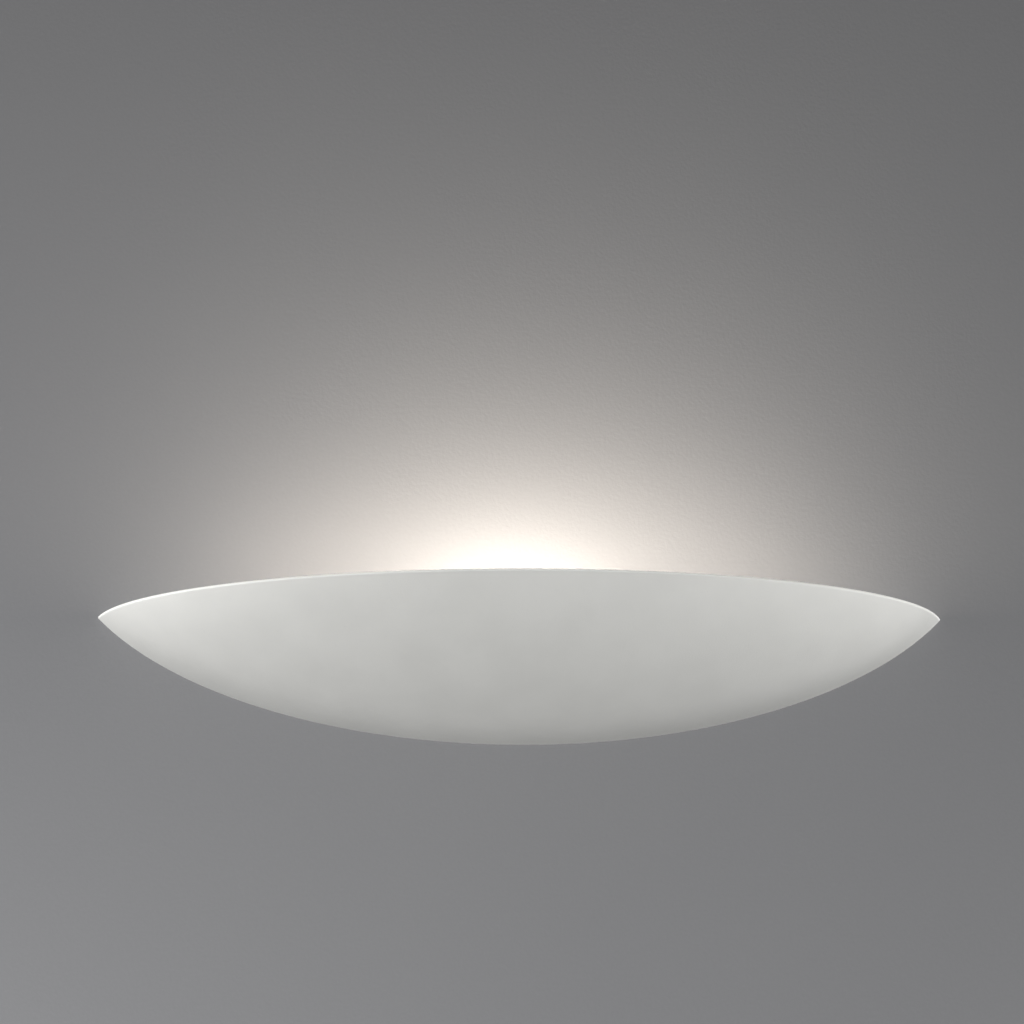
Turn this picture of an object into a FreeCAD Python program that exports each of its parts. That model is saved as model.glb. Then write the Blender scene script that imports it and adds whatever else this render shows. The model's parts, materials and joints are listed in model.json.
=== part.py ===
import FreeCAD, Part
import math
import os
import re
import Sketcher

# A wall uplighter: a boat-shaped ceramic bowl hung on a steel wall plate, with a
# double-ended lamp on a folded carrier inside it. All sizes are in millimetres.
# The wall is the plane y = 0 and the room lies at negative y. +Z is up, and +X is
# to the right for someone who faces the wall. The origin is on the wall, midway
# between the two slots for the wall screws.

Vector = FreeCAD.Vector

SIZES = {
    # bowl: the outside is an ellipsoid, cut by the wall and by a level rim
    "bowl_width": 604,
    "bowl_height": 93,
    "bowl_projection": 146,
    "hull_centre_depth": 28,
    "hull_centre_rise": 60,
    "bowl_drop": 53,
    "bowl_wall": 7,
    "lip_round": 1.5,
    "flange_width": 9,
    "flange_thick": 6,
    "ear_width": 28,
    "ear_thick": 8,
    "ear_hole": 8,
    # wall plate
    "plate_thick": 2,
    "plate_height": 24,
    "plate_end": 15,
    "plate_corner": 4,
    "stud_spacing": 300,
    "tab_width": 44,
    "tab_clearance": 2.6,
    "wall_screw_spacing": 124,
    "wall_slot_width": 5,
    "wall_slot_length": 10,
    # studs, washers and hand nuts
    "stud_bore": 4,
    "stud_head": 5.8,
    "stud_head_thick": 1,
    "stud_proud": 3.4,
    "washer_width": 16,
    "washer_thick": 1.6,
    "washer_clearance": 0.2,
    "nut_width": 14,
    "nut_length": 7,
    "nut_shoulder": 9,
    "nut_shoulder_length": 2,
    "nut_clearance": 0.05,
    "nut_edge": 0.6,
    "knurl_depth": 0.5,
    "knurl_count": 30,
    # cable bushing
    "bushing_bore": 9,
    "bushing_barrel": 14,
    "bushing_flange": 18,
    "bushing_flange_thick": 1.5,
    # lamp carrier
    "sheet_thick": 1.2,
    "bend_round": 1,
    "shelf_drop": 8,
    "carrier_stem": 80,
    "carrier_depth": 32,
    "carrier_flange_top": 10,
    "carrier_tab_top": 28,
    "carrier_tab_corner": 5,
    "carrier_screw_spacing": 56,
    "carrier_screw_rise": 5,
    # machine screws
    "screw_bore": 4,
    "screw_clearance": 0.2,
    "screw_head": 7.6,
    "screw_head_thick": 2.6,
    "screw_slot": 1.2,
    "small_screw_bore": 3,
    "small_screw_head": 5.4,
    "small_screw_head_thick": 2,
    "small_screw_slot": 0.8,
    # reflector
    "reflector_length": 100,
    "reflector_base": 16,
    "reflector_curve": 9,
    "reflector_thick": 0.5,
    "rivet_spacing": 60,
    "rivet_shank": 3.2,
    "rivet_head": 5,
    "rivet_head_thick": 0.9,
    # lamp
    "lamp_out": 60,
    "lamp_rise": 14,
    "lamp_length": 118,
    "cap_width": 12,
    "cap_length": 11,
    "cap_edge": 0.6,
    "cap_recess": 7,
    "cap_recess_depth": 1.9,
    "pin_head_thick": 0.8,
    "pin_width": 3,
    "pin_clearance": 0.1,
    "tube_width": 10,
    "tube_wall": 1,
    "tube_taper": 4,
    "tube_neck": 6,
    "pinch_width": 8,
    "pinch_thick": 2.8,
    "pinch_depth": 6,
    "pinch_clearance": 0.1,
    "pinch_bare": 2,
    "filament_width": 1,
    "support_wire": 0.5,
    "support_pitch": 17,
    "support_clearance": 0.1,
    # lampholders
    "holder_length": 22,
    "holder_width": 20,
    "holder_base": 12,
    "holder_round": 2.5,
    "cradle_depth": 6,
    "cradle_clearance": 0.6,
    "cap_entry": 3,
    "contact_width": 4.6,
    "contact_tip": 2.4,
    "contact_tip_length": 1.4,
    "contact_clearance": 0.1,
    "contact_gap": 0.05,
    "contact_guide": 4.5,
    "contact_travel": 2.5,
    "collar_width": 7.5,
    "collar_thick": 1.2,
    "collar_clearance": 0.25,
    "collar_stop_gap": 0.2,
    "tail_width": 3,
    "tail_length": 2.6,
    "spring_width": 6.2,
    "spring_wire": 0.6,
    "spring_turns": 5,
    "disc_width": 10,
    "disc_thick": 1,
    "disc_clearance": 0.05,
    "holder_screw_out": 7,
    "holder_screw_rise": 6,
    "holder_screw_depth": 8,
    # wiring
    "lead_width": 2.2,
    "lead_clearance": 0.1,
    "lead_hole_inset": 4,
    "lead_end_gap": 0.5,
    "clip_band": 0.8,
    "clip_width": 8,
    "clip_reach": 7.6,
    "block_spacing": 26,
    "block_end": 2,
    "block_height": 16,
    "block_depth": 13,
    "pole_gap": 0.25,
    "pole_out": 6,
    "insert_width": 5,
    "insert_length": 14,
    "insert_bore": 3,
    "clamp_screw_bore": 2.4,
    "clamp_screw_head": 3.4,
    "clamp_screw_head_thick": 1.5,
    "clamp_screw_inset": 0.8,
    "clamp_screw_rise": 4,
    "clamp_screw_slot": 0.6,
    "well_clearance": 0.1,
    "fixing_screw_bore": 2.5,
    "fixing_screw_head": 4.5,
    "fixing_screw_head_thick": 1.5,
    "fixing_screw_inset": 2,
    "ferrule_pin": 2.2,
    "ferrule_pin_length": 7,
    "ferrule_collar": 3.6,
    "ferrule_collar_length": 4,
    "ferrule_clearance": 0.05,
    "earth_spacing": 17,
    "tag_ring": 9,
    "tag_thick": 0.8,
    "tag_neck": 4,
    "tag_barrel_rise": 6.5,
    "tag_barrel_length": 6.5,
    "tag_barrel_wall": 0.75,
    "earth_washer_width": 8,
    "earth_washer_thick": 0.8,
}

doc = FreeCAD.newDocument("wall_uplighter")
sheet = doc.addObject("Spreadsheet::Sheet", "sizes")
for row, (alias, number) in enumerate(SIZES.items(), 1):
    sheet.set(f"A{row}", alias)
    sheet.set(f"B{row}", str(number))
    sheet.setAlias(f"B{row}", alias)
doc.recompute()

nodes = []


# ---------------------------------------------------------------- helpers

def size(alias):
    """The number in a size's cell."""
    return float(sheet.get(alias))


def tied(formula):
    """The formula, with each size's name pointing at its cell."""
    def cell(word):
        return f"sizes.{word[0]}" if word[0] in SIZES else word[0]
    return re.sub(r"[a-z][a-z_0-9]*", cell, formula)


def tie(piece, place, formula):
    piece.setExpression(place, tied(formula))


def move(piece, **place):
    """Tie the piece's place on the named axes to formulas."""
    for axis, formula in place.items():
        tie(piece, f"Placement.Base.{axis}", formula)
    return piece


def keep(node, piece):
    """Name a finished sub-part, and list it to be written out."""
    piece.Label = node
    nodes.append(piece)
    return piece


def box(name, x, y, z):
    """A box between a low and a high formula on each axis."""
    piece = doc.addObject("Part::Box", name)
    for side, (low, high) in (("Length", x), ("Width", y), ("Height", z)):
        tie(piece, side, f"({high}) - ({low})")
    return move(piece, x=x[0], y=y[0], z=z[0])


ALONG = {
    "x": FreeCAD.Rotation(Vector(0, 1, 0), 90),
    "y": FreeCAD.Rotation(Vector(1, 0, 0), -90),
    "z": FreeCAD.Rotation(),
}


def rod(name, axis, width, ends, **place):
    """A cylinder of a diameter along an axis, between two formulas."""
    piece = doc.addObject("Part::Cylinder", name)
    piece.Placement = FreeCAD.Placement(Vector(), ALONG[axis])
    tie(piece, "Radius", f"({width}) / 2")
    tie(piece, "Height", f"({ends[1]}) - ({ends[0]})")
    return move(piece, **{axis: ends[0]}, **place)


def join(name, *pieces):
    piece = doc.addObject("Part::MultiFuse", name)
    piece.Shapes = list(pieces)
    piece.Refine = True
    return piece


def carve(name, base, *tools):
    """The base, less every tool."""
    piece = doc.addObject("Part::Cut", name)
    piece.Base = base
    piece.Tool = tools[0] if len(tools) == 1 else join(name + "_tools", *tools)
    return piece


def common(name, base, tool):
    piece = doc.addObject("Part::Common", name)
    piece.Base = base
    piece.Tool = tool
    return piece


def gather(name, *pieces):
    """Separate solids in one sub-part."""
    piece = doc.addObject("Part::Compound", name)
    piece.Links = list(pieces)
    return piece


def mirror(name, source):
    """The source, mirrored to the other side of the plane x = 0."""
    piece = doc.addObject("Part::Mirroring", name)
    piece.Source = source
    piece.Normal = Vector(1, 0, 0)
    return piece


def pair(name, source):
    """The source and its mirror image, as one sub-part."""
    return gather(name, source, mirror(name + "_mirrored", source))


def outline(body, plane, corners):
    """A closed sketch of straight lines with its corners at formulas."""
    sketch = body.newObject("Sketcher::SketchObject", body.Name + "_outline")
    planes = {feature.Role: feature for feature in body.Origin.OriginFeatures}
    sketch.AttachmentSupport = [(planes[plane], "")]
    sketch.MapMode = "FlatFace"
    count = len(corners)
    spread = [Vector(math.cos(turn), math.sin(turn), 0) * count
              for turn in (2 * math.pi * index / count for index in range(count))]
    for index in range(count):
        sketch.addGeometry(Part.LineSegment(spread[index], spread[(index + 1) % count]), False)
    for index in range(count):
        following = (index + 1) % count
        sketch.addConstraint(Sketcher.Constraint("Coincident", index, 2, following, 1))
    for index, corner in enumerate(corners):
        first = (("DistanceX", spread[index].x), ("DistanceY", spread[index].y))
        for (kind, start), formula in zip(first, corner):
            number = sketch.addConstraint(Sketcher.Constraint(kind, -1, 1, index, 1, start))
            tie(sketch, f"Constraints[{number}]", formula)
    return sketch


def padded(name, plane, corners, length):
    """A flat outline padded to a thickness."""
    body = doc.addObject("PartDesign::Body", name)
    sketch = outline(body, plane, corners)
    pad = body.newObject("PartDesign::Pad", name + "_pad")
    pad.Profile = sketch
    tie(pad, "Length", length)
    return body


def turned(name, axis, profile, **place):
    """A turned piece: its profile gives pairs of place along the axis and diameter."""
    body = doc.addObject("PartDesign::Body", name)
    if axis == "x":
        plane, line = "XY_Plane", "H_Axis"
        corners = [(along, f"({width}) / 2") for along, width in profile]
    else:
        plane, line = ("XY_Plane" if axis == "y" else "XZ_Plane"), "V_Axis"
        corners = [(f"({width}) / 2", along) for along, width in profile]
    sketch = outline(body, plane, corners)
    turn = body.newObject("PartDesign::Revolution", name + "_turn")
    turn.Profile = sketch
    turn.ReferenceAxis = (sketch, [line])
    turn.Angle = 360
    return move(body, **place)


def rounded(name, base, *rounds):
    """The base with its edges rounded, for each pair of a radius and a test that picks edges."""
    body = doc.addObject("PartDesign::Body", name)
    body.BaseFeature = base
    doc.recompute()
    for radius, picked in rounds:
        start = body.Tip
        edges = [f"Edge{index}" for index, edge in enumerate(start.Shape.Edges, 1) if picked(edge)]
        fillet = body.newObject("PartDesign::Fillet", name + "_round")
        fillet.Base = (start, edges)
        tie(fillet, "Radius", radius)
        doc.recompute()
    return body


def is_near(first, second):
    return abs(first - second) < 1e-4


def runs_along(edge, axis):
    """True for a straight edge parallel to the axis."""
    if not isinstance(edge.Curve, Part.Line):
        return False
    return is_near(abs(getattr(edge.Curve.Direction, axis)), 1)


def at(edge, **place):
    """True where the middle of the edge lies at the given coordinates, to either side of x = 0."""
    middle = edge.CenterOfMass
    return all(is_near(abs(getattr(middle, axis)), abs(where)) for axis, where in place.items())


# ---------------------------------------------------------------- bowl

HULL_REACH = "(bowl_projection + hull_centre_depth)"
HULL_DROP = "(bowl_height + hull_centre_rise)"
HULL_SPREAD = f"({HULL_REACH}^2 * {HULL_DROP}^2 - (hull_centre_rise * hull_centre_depth)^2)"
HULL_DEPTH = f"sqrt({HULL_SPREAD} / ({HULL_DROP}^2 - hull_centre_rise^2))"
HULL_HEIGHT = f"sqrt({HULL_SPREAD} / ({HULL_REACH}^2 - hull_centre_depth^2))"
HULL_LEFT = f"(1 - (hull_centre_depth / {HULL_DEPTH})^2 - (hull_centre_rise / {HULL_HEIGHT})^2)"
HULL_WIDTH = f"(bowl_width / 2 / sqrt({HULL_LEFT}))"
RIM = "(bowl_height - bowl_drop)"
EAR_BACK = "plate_thick"
EAR_FRONT = "(plate_thick + ear_thick)"
STUD_X = "stud_spacing / 2"


FLANGE_INSET = "(bowl_wall + flange_width)"


def hull(name, inset):
    """The bowl's ellipsoid, with every half-axis less by the inset."""
    piece = doc.addObject("Part::Ellipsoid", name)
    tie(piece, "Radius1", f"{HULL_HEIGHT} - ({inset})")
    tie(piece, "Radius2", f"{HULL_WIDTH} - ({inset})")
    tie(piece, "Radius3", f"{HULL_DEPTH} - ({inset})")
    piece.Angle1 = -90
    piece.Angle2 = 90
    return move(piece, y="hull_centre_depth", z=f"{RIM} + hull_centre_rise")


def bowl_room(name, back, top):
    """A box that holds all of the bowl in front of one depth and below one height."""
    return box(
        name,
        ("-bowl_width", "bowl_width"),
        ("-2 * bowl_projection", back),
        (f"{RIM} - 2 * bowl_height", top),
    )


def ear(name):
    """A tongue with a round top, which hangs on a stud."""
    depth = (f"-{EAR_FRONT}", f"-{EAR_BACK}")
    across = (f"{STUD_X} - ear_width / 2", f"{STUD_X} + ear_width / 2")
    foot = box(name + "_foot", across, depth, (f"{RIM} - bowl_height", "0"))
    top = rod(name + "_top", "y", "ear_width", depth, x=STUD_X)
    return join(name, foot, top)


def ceramic_body():
    outside = common("bowl_outside", hull("bowl_hull", "0"), bowl_room("bowl_space", "0", RIM))
    inside = common(
        "bowl_inside",
        hull("cavity_hull", "bowl_wall"),
        bowl_room("cavity_space", "-flange_thick", f"{RIM} + bowl_wall"),
    )
    back = common(
        "bowl_back_hole",
        hull("flange_hull", FLANGE_INSET),
        box(
            "flange_space",
            ("-bowl_width", "bowl_width"),
            ("-flange_thick - bowl_wall", "bowl_wall"),
            (f"{RIM} - 2 * bowl_height", f"{RIM} + bowl_wall"),
        ),
    )
    shell = carve("bowl_shell", outside, inside, back)
    right = ear("ear_right")
    ears = common("ears_in_hull", join("ears", right, mirror("ear_left", right)), outside)
    hole = rod("ear_hole_right", "y", "ear_hole", (f"-{EAR_FRONT} - 1", f"1 - {EAR_BACK}"), x=STUD_X)
    whole = join("bowl_with_ears", shell, ears)
    drilled = carve("bowl_drilled", whole, hole, mirror("ear_hole_left", hole))

    rim = size("bowl_height") - size("bowl_drop")

    def is_rim(edge):
        if isinstance(edge.Curve, Part.Line):
            return False
        return all(is_near(point.z, rim) for point in edge.discretize(5))

    return rounded("bowl", drilled, ("min(lip_round; bowl_wall * 0.45)", is_rim))


keep("ceramic_body", ceramic_body())


# ---------------------------------------------------------------- wall plate and its studs

# The tab for the cable stops short of the bowl's back flange, and its bushing
# sits midway between the tab's end and the underside of the lamp carrier.
HOLE_DEPTH_SHARE = f"((hull_centre_depth + plate_thick) / ({HULL_DEPTH} - {FLANGE_INSET}))"
HOLE_WIDTH_SHARE = f"(tab_width / 2 / ({HULL_WIDTH} - {FLANGE_INSET}))"
HOLE_DROP = (f"({HULL_HEIGHT} - {FLANGE_INSET})"
             f" * sqrt(1 - {HOLE_DEPTH_SHARE}^2 - {HOLE_WIDTH_SHARE}^2)")
TAB_LOW = f"({RIM} + hull_centre_rise - {HOLE_DROP} + tab_clearance)"
SHELF_TOP = "(-shelf_drop)"
SHELF_UNDER = "(-shelf_drop - sheet_thick)"
BUSHING_Z = f"(({SHELF_UNDER} + {TAB_LOW}) / 2)"
EARTH_X = "(-wall_screw_spacing / 2 - earth_spacing)"
BLOCK_X = f"({EARTH_X} - block_spacing)"
POLE_PITCH = "(insert_width + fixing_screw_bore + 2 * pole_gap)"
FIXING_X = f"({BLOCK_X} + {POLE_PITCH} / 2)"


def wall_plate():
    half = "(stud_spacing / 2 + plate_end)"
    blank = padded("plate_blank", "XZ_Plane", [
        (f"-{half}", "-plate_height / 2"),
        ("-tab_width / 2", "-plate_height / 2"),
        ("-tab_width / 2", TAB_LOW),
        ("tab_width / 2", TAB_LOW),
        ("tab_width / 2", "-plate_height / 2"),
        (half, "-plate_height / 2"),
        (half, "plate_height / 2"),
        (f"-{half}", "plate_height / 2"),
    ], "plate_thick")
    smooth = rounded("plate_rounded", blank, ("plate_corner", lambda edge: runs_along(edge, "y")))
    through = ("-plate_thick - 1", "1")
    slot_x = "wall_screw_spacing / 2"
    slot_end = "(wall_slot_length - wall_slot_width) / 2"
    slot_half = "wall_slot_width / 2"
    slot = join(
        "wall_slot_right",
        box("slot_middle", (f"{slot_x} - {slot_end}", f"{slot_x} + {slot_end}"), through,
            (f"-{slot_half}", slot_half)),
        rod("slot_inner_end", "y", "wall_slot_width", through, x=f"{slot_x} - {slot_end}"),
        rod("slot_outer_end", "y", "wall_slot_width", through, x=f"{slot_x} + {slot_end}"),
    )
    stud = rod("stud_hole_right", "y", "stud_bore", through, x=STUD_X)
    seat = rod("stud_seat_right", "y", "stud_head", ("-stud_head_thick", "1"), x=STUD_X)
    carrier = rod("carrier_hole_right", "y", "screw_bore", through,
                  x="carrier_screw_spacing / 2", z="carrier_screw_rise")
    mirrored = [mirror(tool.Name + "_mirrored", tool) for tool in (slot, stud, seat, carrier)]
    single = [
        rod("bushing_hole", "y", "bushing_barrel", through, z=BUSHING_Z),
        rod("earth_hole", "y", "screw_bore", through, x=EARTH_X),
        rod("fixing_hole", "y", "fixing_screw_bore", through, x=FIXING_X),
    ]
    return carve("plate", smooth, slot, stud, seat, carrier, *mirrored, *single)


STUD_END = f"({EAR_FRONT} + washer_thick + nut_shoulder_length + nut_length + stud_proud)"


def ceramic_studs():
    stud = turned("stud_right", "y", [
        ("0", "0"),
        ("0", "stud_head"),
        ("-stud_head_thick", "stud_head"),
        ("-stud_head_thick", "stud_bore"),
        (f"-{STUD_END} + stud_bore / 8", "stud_bore"),
        (f"-{STUD_END}", "stud_bore * 0.75"),
        (f"-{STUD_END}", "0"),
    ], x=STUD_X)
    return pair("studs", stud)


WASHER_FRONT = f"({EAR_FRONT} + washer_thick)"


def stud_washers():
    bore = "stud_bore + 2 * washer_clearance"
    washer = turned("washer_right", "y", [
        (f"-{EAR_FRONT}", bore),
        (f"-{EAR_FRONT}", "washer_width"),
        (f"-{WASHER_FRONT}", "washer_width"),
        (f"-{WASHER_FRONT}", bore),
    ], x=STUD_X)
    return pair("washers", washer)


def knurled_nut():
    """A hand nut: a plain shoulder and a knurled head with bevelled ends."""
    bore = "stud_bore + 2 * nut_clearance"
    head_back = f"({WASHER_FRONT} + nut_shoulder_length)"
    head_front = f"({head_back} + nut_length)"
    nut = turned("nut_right", "y", [
        (f"-{WASHER_FRONT}", bore),
        (f"-{WASHER_FRONT}", "nut_shoulder"),
        (f"-{head_back}", "nut_shoulder"),
        (f"-{head_back}", "nut_width - 2 * nut_edge"),
        (f"-{head_back} - nut_edge", "nut_width"),
        (f"-{head_front} + nut_edge", "nut_width"),
        (f"-{head_front}", "nut_width - 2 * nut_edge"),
        (f"-{head_front}", bore),
    ])
    groove = outline(nut, "XZ_Plane", [
        ("nut_width / 2 - knurl_depth", "0"),
        ("nut_width / 2 + knurl_depth", "knurl_depth * 1.2"),
        ("nut_width / 2 + knurl_depth", "-knurl_depth * 1.2"),
    ])
    cut = nut.newObject("PartDesign::Pocket", "knurl")
    cut.Profile = groove
    cut.Type = "ThroughAll"
    cut.Reversed = True
    axis = [part for part in nut.Origin.OriginFeatures if part.Role == "Y_Axis"][0]
    pattern = nut.newObject("PartDesign::PolarPattern", "knurls")
    pattern.Originals = [cut]
    pattern.Axis = (axis, [""])
    pattern.Angle = 360
    tie(pattern, "Occurrences", "knurl_count")
    nut.Tip = pattern
    return move(nut, x=STUD_X)


def cable_bushing():
    return turned("bushing", "y", [
        ("0", "bushing_bore"),
        ("0", "bushing_barrel"),
        ("-plate_thick", "bushing_barrel"),
        ("-plate_thick", "bushing_flange"),
        ("-plate_thick - bushing_flange_thick", "bushing_flange"),
        ("-plate_thick - bushing_flange_thick", "bushing_bore"),
    ], z=BUSHING_Z)


keep("wall_plate", wall_plate())
keep("ceramic_studs", ceramic_studs())
keep("stud_washers", stud_washers())
right_nut = keep("knurled_nut_right", knurled_nut())
keep("knurled_nut_left", mirror("nut_left", right_nut))
keep("cable_bushing", cable_bushing())


# ---------------------------------------------------------------- lamp carrier

def screw(name, axis, ends, widths, head_thick, slot, **place):
    """A slotted screw from its seat to its tip, its head away from the tip.

    It points back along y, or inwards along x on the right-hand side.
    """
    seat, tip = ends
    bore, head = widths
    out = "+" if axis == "x" else "-"
    top = f"({seat} {out} {head_thick})"
    floor = f"({seat} {out} {head_thick} / 2)"
    past = f"({seat} {out} 2 * {head_thick})"

    def span(inner, outer):
        return (inner, outer) if out == "+" else (outer, inner)

    shank = rod(name + "_shank", axis, bore, span(tip, seat), **place)
    cap = rod(name + "_head", axis, head, span(seat, top), **place)
    across = "y" if axis == "x" else "x"
    sides = {
        axis: span(floor, past),
        across: (f"{place[across]} - {head}", f"{place[across]} + {head}"),
        "z": (f"{place['z']} - {slot} / 2", f"{place['z']} + {slot} / 2"),
    }
    groove = box(name + "_slot", sides["x"], sides["y"], sides["z"])
    return carve(name, join(name + "_blank", shank, cap), groove)


HOLDER_INNER = "(lamp_length / 2 - cap_entry)"
HOLDER_OUTER = f"({HOLDER_INNER} + holder_length)"
CARRIER_OUTER = f"({HOLDER_OUTER} + sheet_thick)"
LAMP_Y = "(-lamp_out)"
LAMP_Z = "lamp_rise"
BAR_FRONT = "(-lamp_out - carrier_depth / 2)"
BAR_BACK = "(-lamp_out + carrier_depth / 2)"
FLANGE_FRONT = "(-plate_thick - sheet_thick)"
CLIP_FRONT = f"({FLANGE_FRONT} - clip_band)"
CARRIER_SCREW_X = "carrier_screw_spacing / 2"
CARRIER_SCREW_Z = "carrier_screw_rise"


def lamp_carrier():
    """One folded sheet: a flange on the wall plate, a shelf, and a tab up at each end."""
    height = (SHELF_UNDER, SHELF_TOP)
    stem = ("-carrier_stem / 2", "carrier_stem / 2")
    flange = box("carrier_flange", stem, (FLANGE_FRONT, "-plate_thick"),
                 (SHELF_UNDER, "carrier_flange_top"))
    tongue = box("carrier_tongue", stem, (BAR_BACK, "-plate_thick"), height)
    bar = box("carrier_bar", (f"-{CARRIER_OUTER}", CARRIER_OUTER), (BAR_FRONT, BAR_BACK), height)
    tab = box("carrier_tab_right", (HOLDER_OUTER, CARRIER_OUTER), (BAR_FRONT, BAR_BACK),
              (SHELF_UNDER, "carrier_tab_top"))
    folded = join("carrier_folded", flange, tongue, bar, tab, mirror("carrier_tab_left", tab))

    def inner_bend(edge):
        flange_bend = runs_along(edge, "x") and at(edge, y=inner_y, z=inner_z)
        tab_bend = runs_along(edge, "y") and at(edge, x=inner_x, z=inner_z)
        return flange_bend or tab_bend

    def outer_bend(edge):
        flange_bend = runs_along(edge, "x") and at(edge, y=outer_y, z=outer_z)
        tab_bend = runs_along(edge, "y") and at(edge, x=outer_x, z=outer_z)
        return flange_bend or tab_bend

    def tab_corner(edge):
        return runs_along(edge, "x") and at(edge, z=size("carrier_tab_top"))

    inner_x = size("lamp_length") / 2 - size("cap_entry") + size("holder_length")
    outer_x = inner_x + size("sheet_thick")
    outer_y = size("plate_thick")
    inner_y = outer_y + size("sheet_thick")
    inner_z = size("shelf_drop")
    outer_z = inner_z + size("sheet_thick")
    bent = rounded(
        "carrier_bent", folded,
        ("bend_round", inner_bend),
        ("bend_round + sheet_thick", outer_bend),
        ("carrier_tab_corner", tab_corner),
    )
    fixing = rod("carrier_fixing_right", "y", "screw_bore + 2 * screw_clearance",
                 (f"{FLANGE_FRONT} - 1", "1 - plate_thick"), x=CARRIER_SCREW_X, z=CARRIER_SCREW_Z)
    rivet = rod("carrier_rivet_right", "z", "rivet_shank",
                (f"{SHELF_UNDER} - 1", f"{SHELF_TOP} + 1"), x="rivet_spacing / 2", y=LAMP_Y)
    tools = [fixing, rivet] + holder_screw_holes("carrier", HOLDER_OUTER + " - 1",
                                                 CARRIER_OUTER + " + 1")
    return carve("carrier", bent, *tools, *[mirror(tool.Name + "_mirrored", tool) for tool in tools])


def holder_screw_places():
    """The two screws of a lampholder, on a diagonal across the lamp's axis."""
    return [
        {"y": f"({LAMP_Y} + holder_screw_out)", "z": f"({LAMP_Z} + holder_screw_rise)"},
        {"y": f"({LAMP_Y} - holder_screw_out)", "z": f"({LAMP_Z} - holder_screw_rise)"},
    ]


def holder_screw_holes(name, inner, outer):
    return [rod(f"{name}_screw_hole_{number}", "x", "small_screw_bore", (inner, outer), **place)
            for number, place in enumerate(holder_screw_places(), 1)]


def carrier_screws():
    right = screw("carrier_screw_right", "y", (CLIP_FRONT, "0"), ("screw_bore", "screw_head"),
                  "screw_head_thick", "screw_slot", x=CARRIER_SCREW_X, z=CARRIER_SCREW_Z)
    return pair("carrier_screws", right)


CLIP_BORE = "(lead_width + 2 * lead_clearance)"
CLIP_OUTER = f"({CLIP_BORE} + 2 * clip_band)"
CLIPPED_Y = f"({FLANGE_FRONT} - {CLIP_OUTER} / 2)"
CLIPPED_Z = "(carrier_screw_rise + clip_reach)"


def lead_clips():
    """A band round the lead, its tail under the carrier screw's head."""
    across = (f"{CARRIER_SCREW_X} - clip_width / 2", f"{CARRIER_SCREW_X} + clip_width / 2")
    tail = box("clip_tail", across, (CLIP_FRONT, FLANGE_FRONT),
               ("carrier_screw_rise - clip_width / 2", CLIPPED_Z))
    band = rod("clip_band", "x", CLIP_OUTER, across, y=CLIPPED_Y, z=CLIPPED_Z)
    bore = rod("clip_bore", "x", CLIP_BORE, (f"{across[0]} - 1", f"{across[1]} + 1"),
               y=CLIPPED_Y, z=CLIPPED_Z)
    hole = rod("clip_hole", "y", "screw_bore + 2 * screw_clearance",
               (f"{CLIP_FRONT} - 1", f"{FLANGE_FRONT} + 1"), x=CARRIER_SCREW_X, z=CARRIER_SCREW_Z)
    return pair("clips", carve("clip_right", join("clip_blank", tail, band), bore, hole))


keep("lamp_carrier", lamp_carrier())
keep("carrier_screws", carrier_screws())
keep("lead_clips", lead_clips())


# ---------------------------------------------------------------- reflector

def trough(name, inset, ends, top):
    """A flat base with a quarter-round side along each edge, less an inset all round."""
    curve = f"(2 * (reflector_curve - {inset}))"
    centre_z = f"{SHELF_TOP} + reflector_curve"
    base_back = f"{LAMP_Y} + reflector_base / 2"
    base_front = f"{LAMP_Y} - reflector_base / 2"
    return join(
        name,
        rod(name + "_front", "x", curve, ends, y=base_front, z=centre_z),
        rod(name + "_rear", "x", curve, ends, y=base_back, z=centre_z),
        box(name + "_middle", ends, (base_front, base_back),
            (f"{SHELF_TOP} + {inset}", f"{centre_z} + {top}")),
    )


def reflector():
    half = "reflector_length / 2"
    outer = trough("trough_outer", "0", (f"-{half}", half), "0")
    inner = trough("trough_inner", "reflector_thick", (f"-{half} - 1", f"{half} + 1"), "1")
    above = box("trough_above", (f"-{half} - 1", f"{half} + 1"), (f"{LAMP_Y} - lamp_out", "0"),
                (f"{SHELF_TOP} + reflector_curve", f"{SHELF_TOP} + 3 * reflector_curve"))
    hole = rod("trough_rivet_hole", "z", "rivet_shank",
               (f"{SHELF_TOP} - 1", f"{SHELF_TOP} + reflector_thick + 1"),
               x="rivet_spacing / 2", y=LAMP_Y)
    return carve("trough", outer, inner, above, hole, mirror("trough_rivet_hole_left", hole))


def reflector_rivets():
    seat = f"({SHELF_TOP} + reflector_thick)"
    rivet = turned("rivet_right", "z", [
        (f"{SHELF_UNDER} - rivet_head_thick", "0"),
        (f"{SHELF_UNDER} - rivet_head_thick", "rivet_head * 0.7"),
        (SHELF_UNDER, "rivet_head"),
        (SHELF_UNDER, "rivet_shank"),
        (seat, "rivet_shank"),
        (seat, "rivet_head"),
        (f"{seat} + rivet_head_thick", "rivet_head * 0.7"),
        (f"{seat} + rivet_head_thick", "0"),
    ], x="rivet_spacing / 2", y=LAMP_Y)
    return pair("rivets", rivet)


keep("reflector", reflector())
keep("reflector_rivets", reflector_rivets())


# ---------------------------------------------------------------- lamp

LAMP_END = "(lamp_length / 2)"
CAP_INNER = f"({LAMP_END} - cap_length)"
RECESS_FLOOR = f"({LAMP_END} - cap_recess_depth)"
PINCH_START = f"({CAP_INNER} - pinch_bare)"
PINCH_END = f"({CAP_INNER} + pinch_depth)"
TAPER_START = f"({PINCH_START} - tube_taper)"
CAVITY_END = f"({PINCH_START} - 2 * tube_wall)"
CAVITY_WIDTH = "(tube_width - 2 * tube_wall)"


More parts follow.
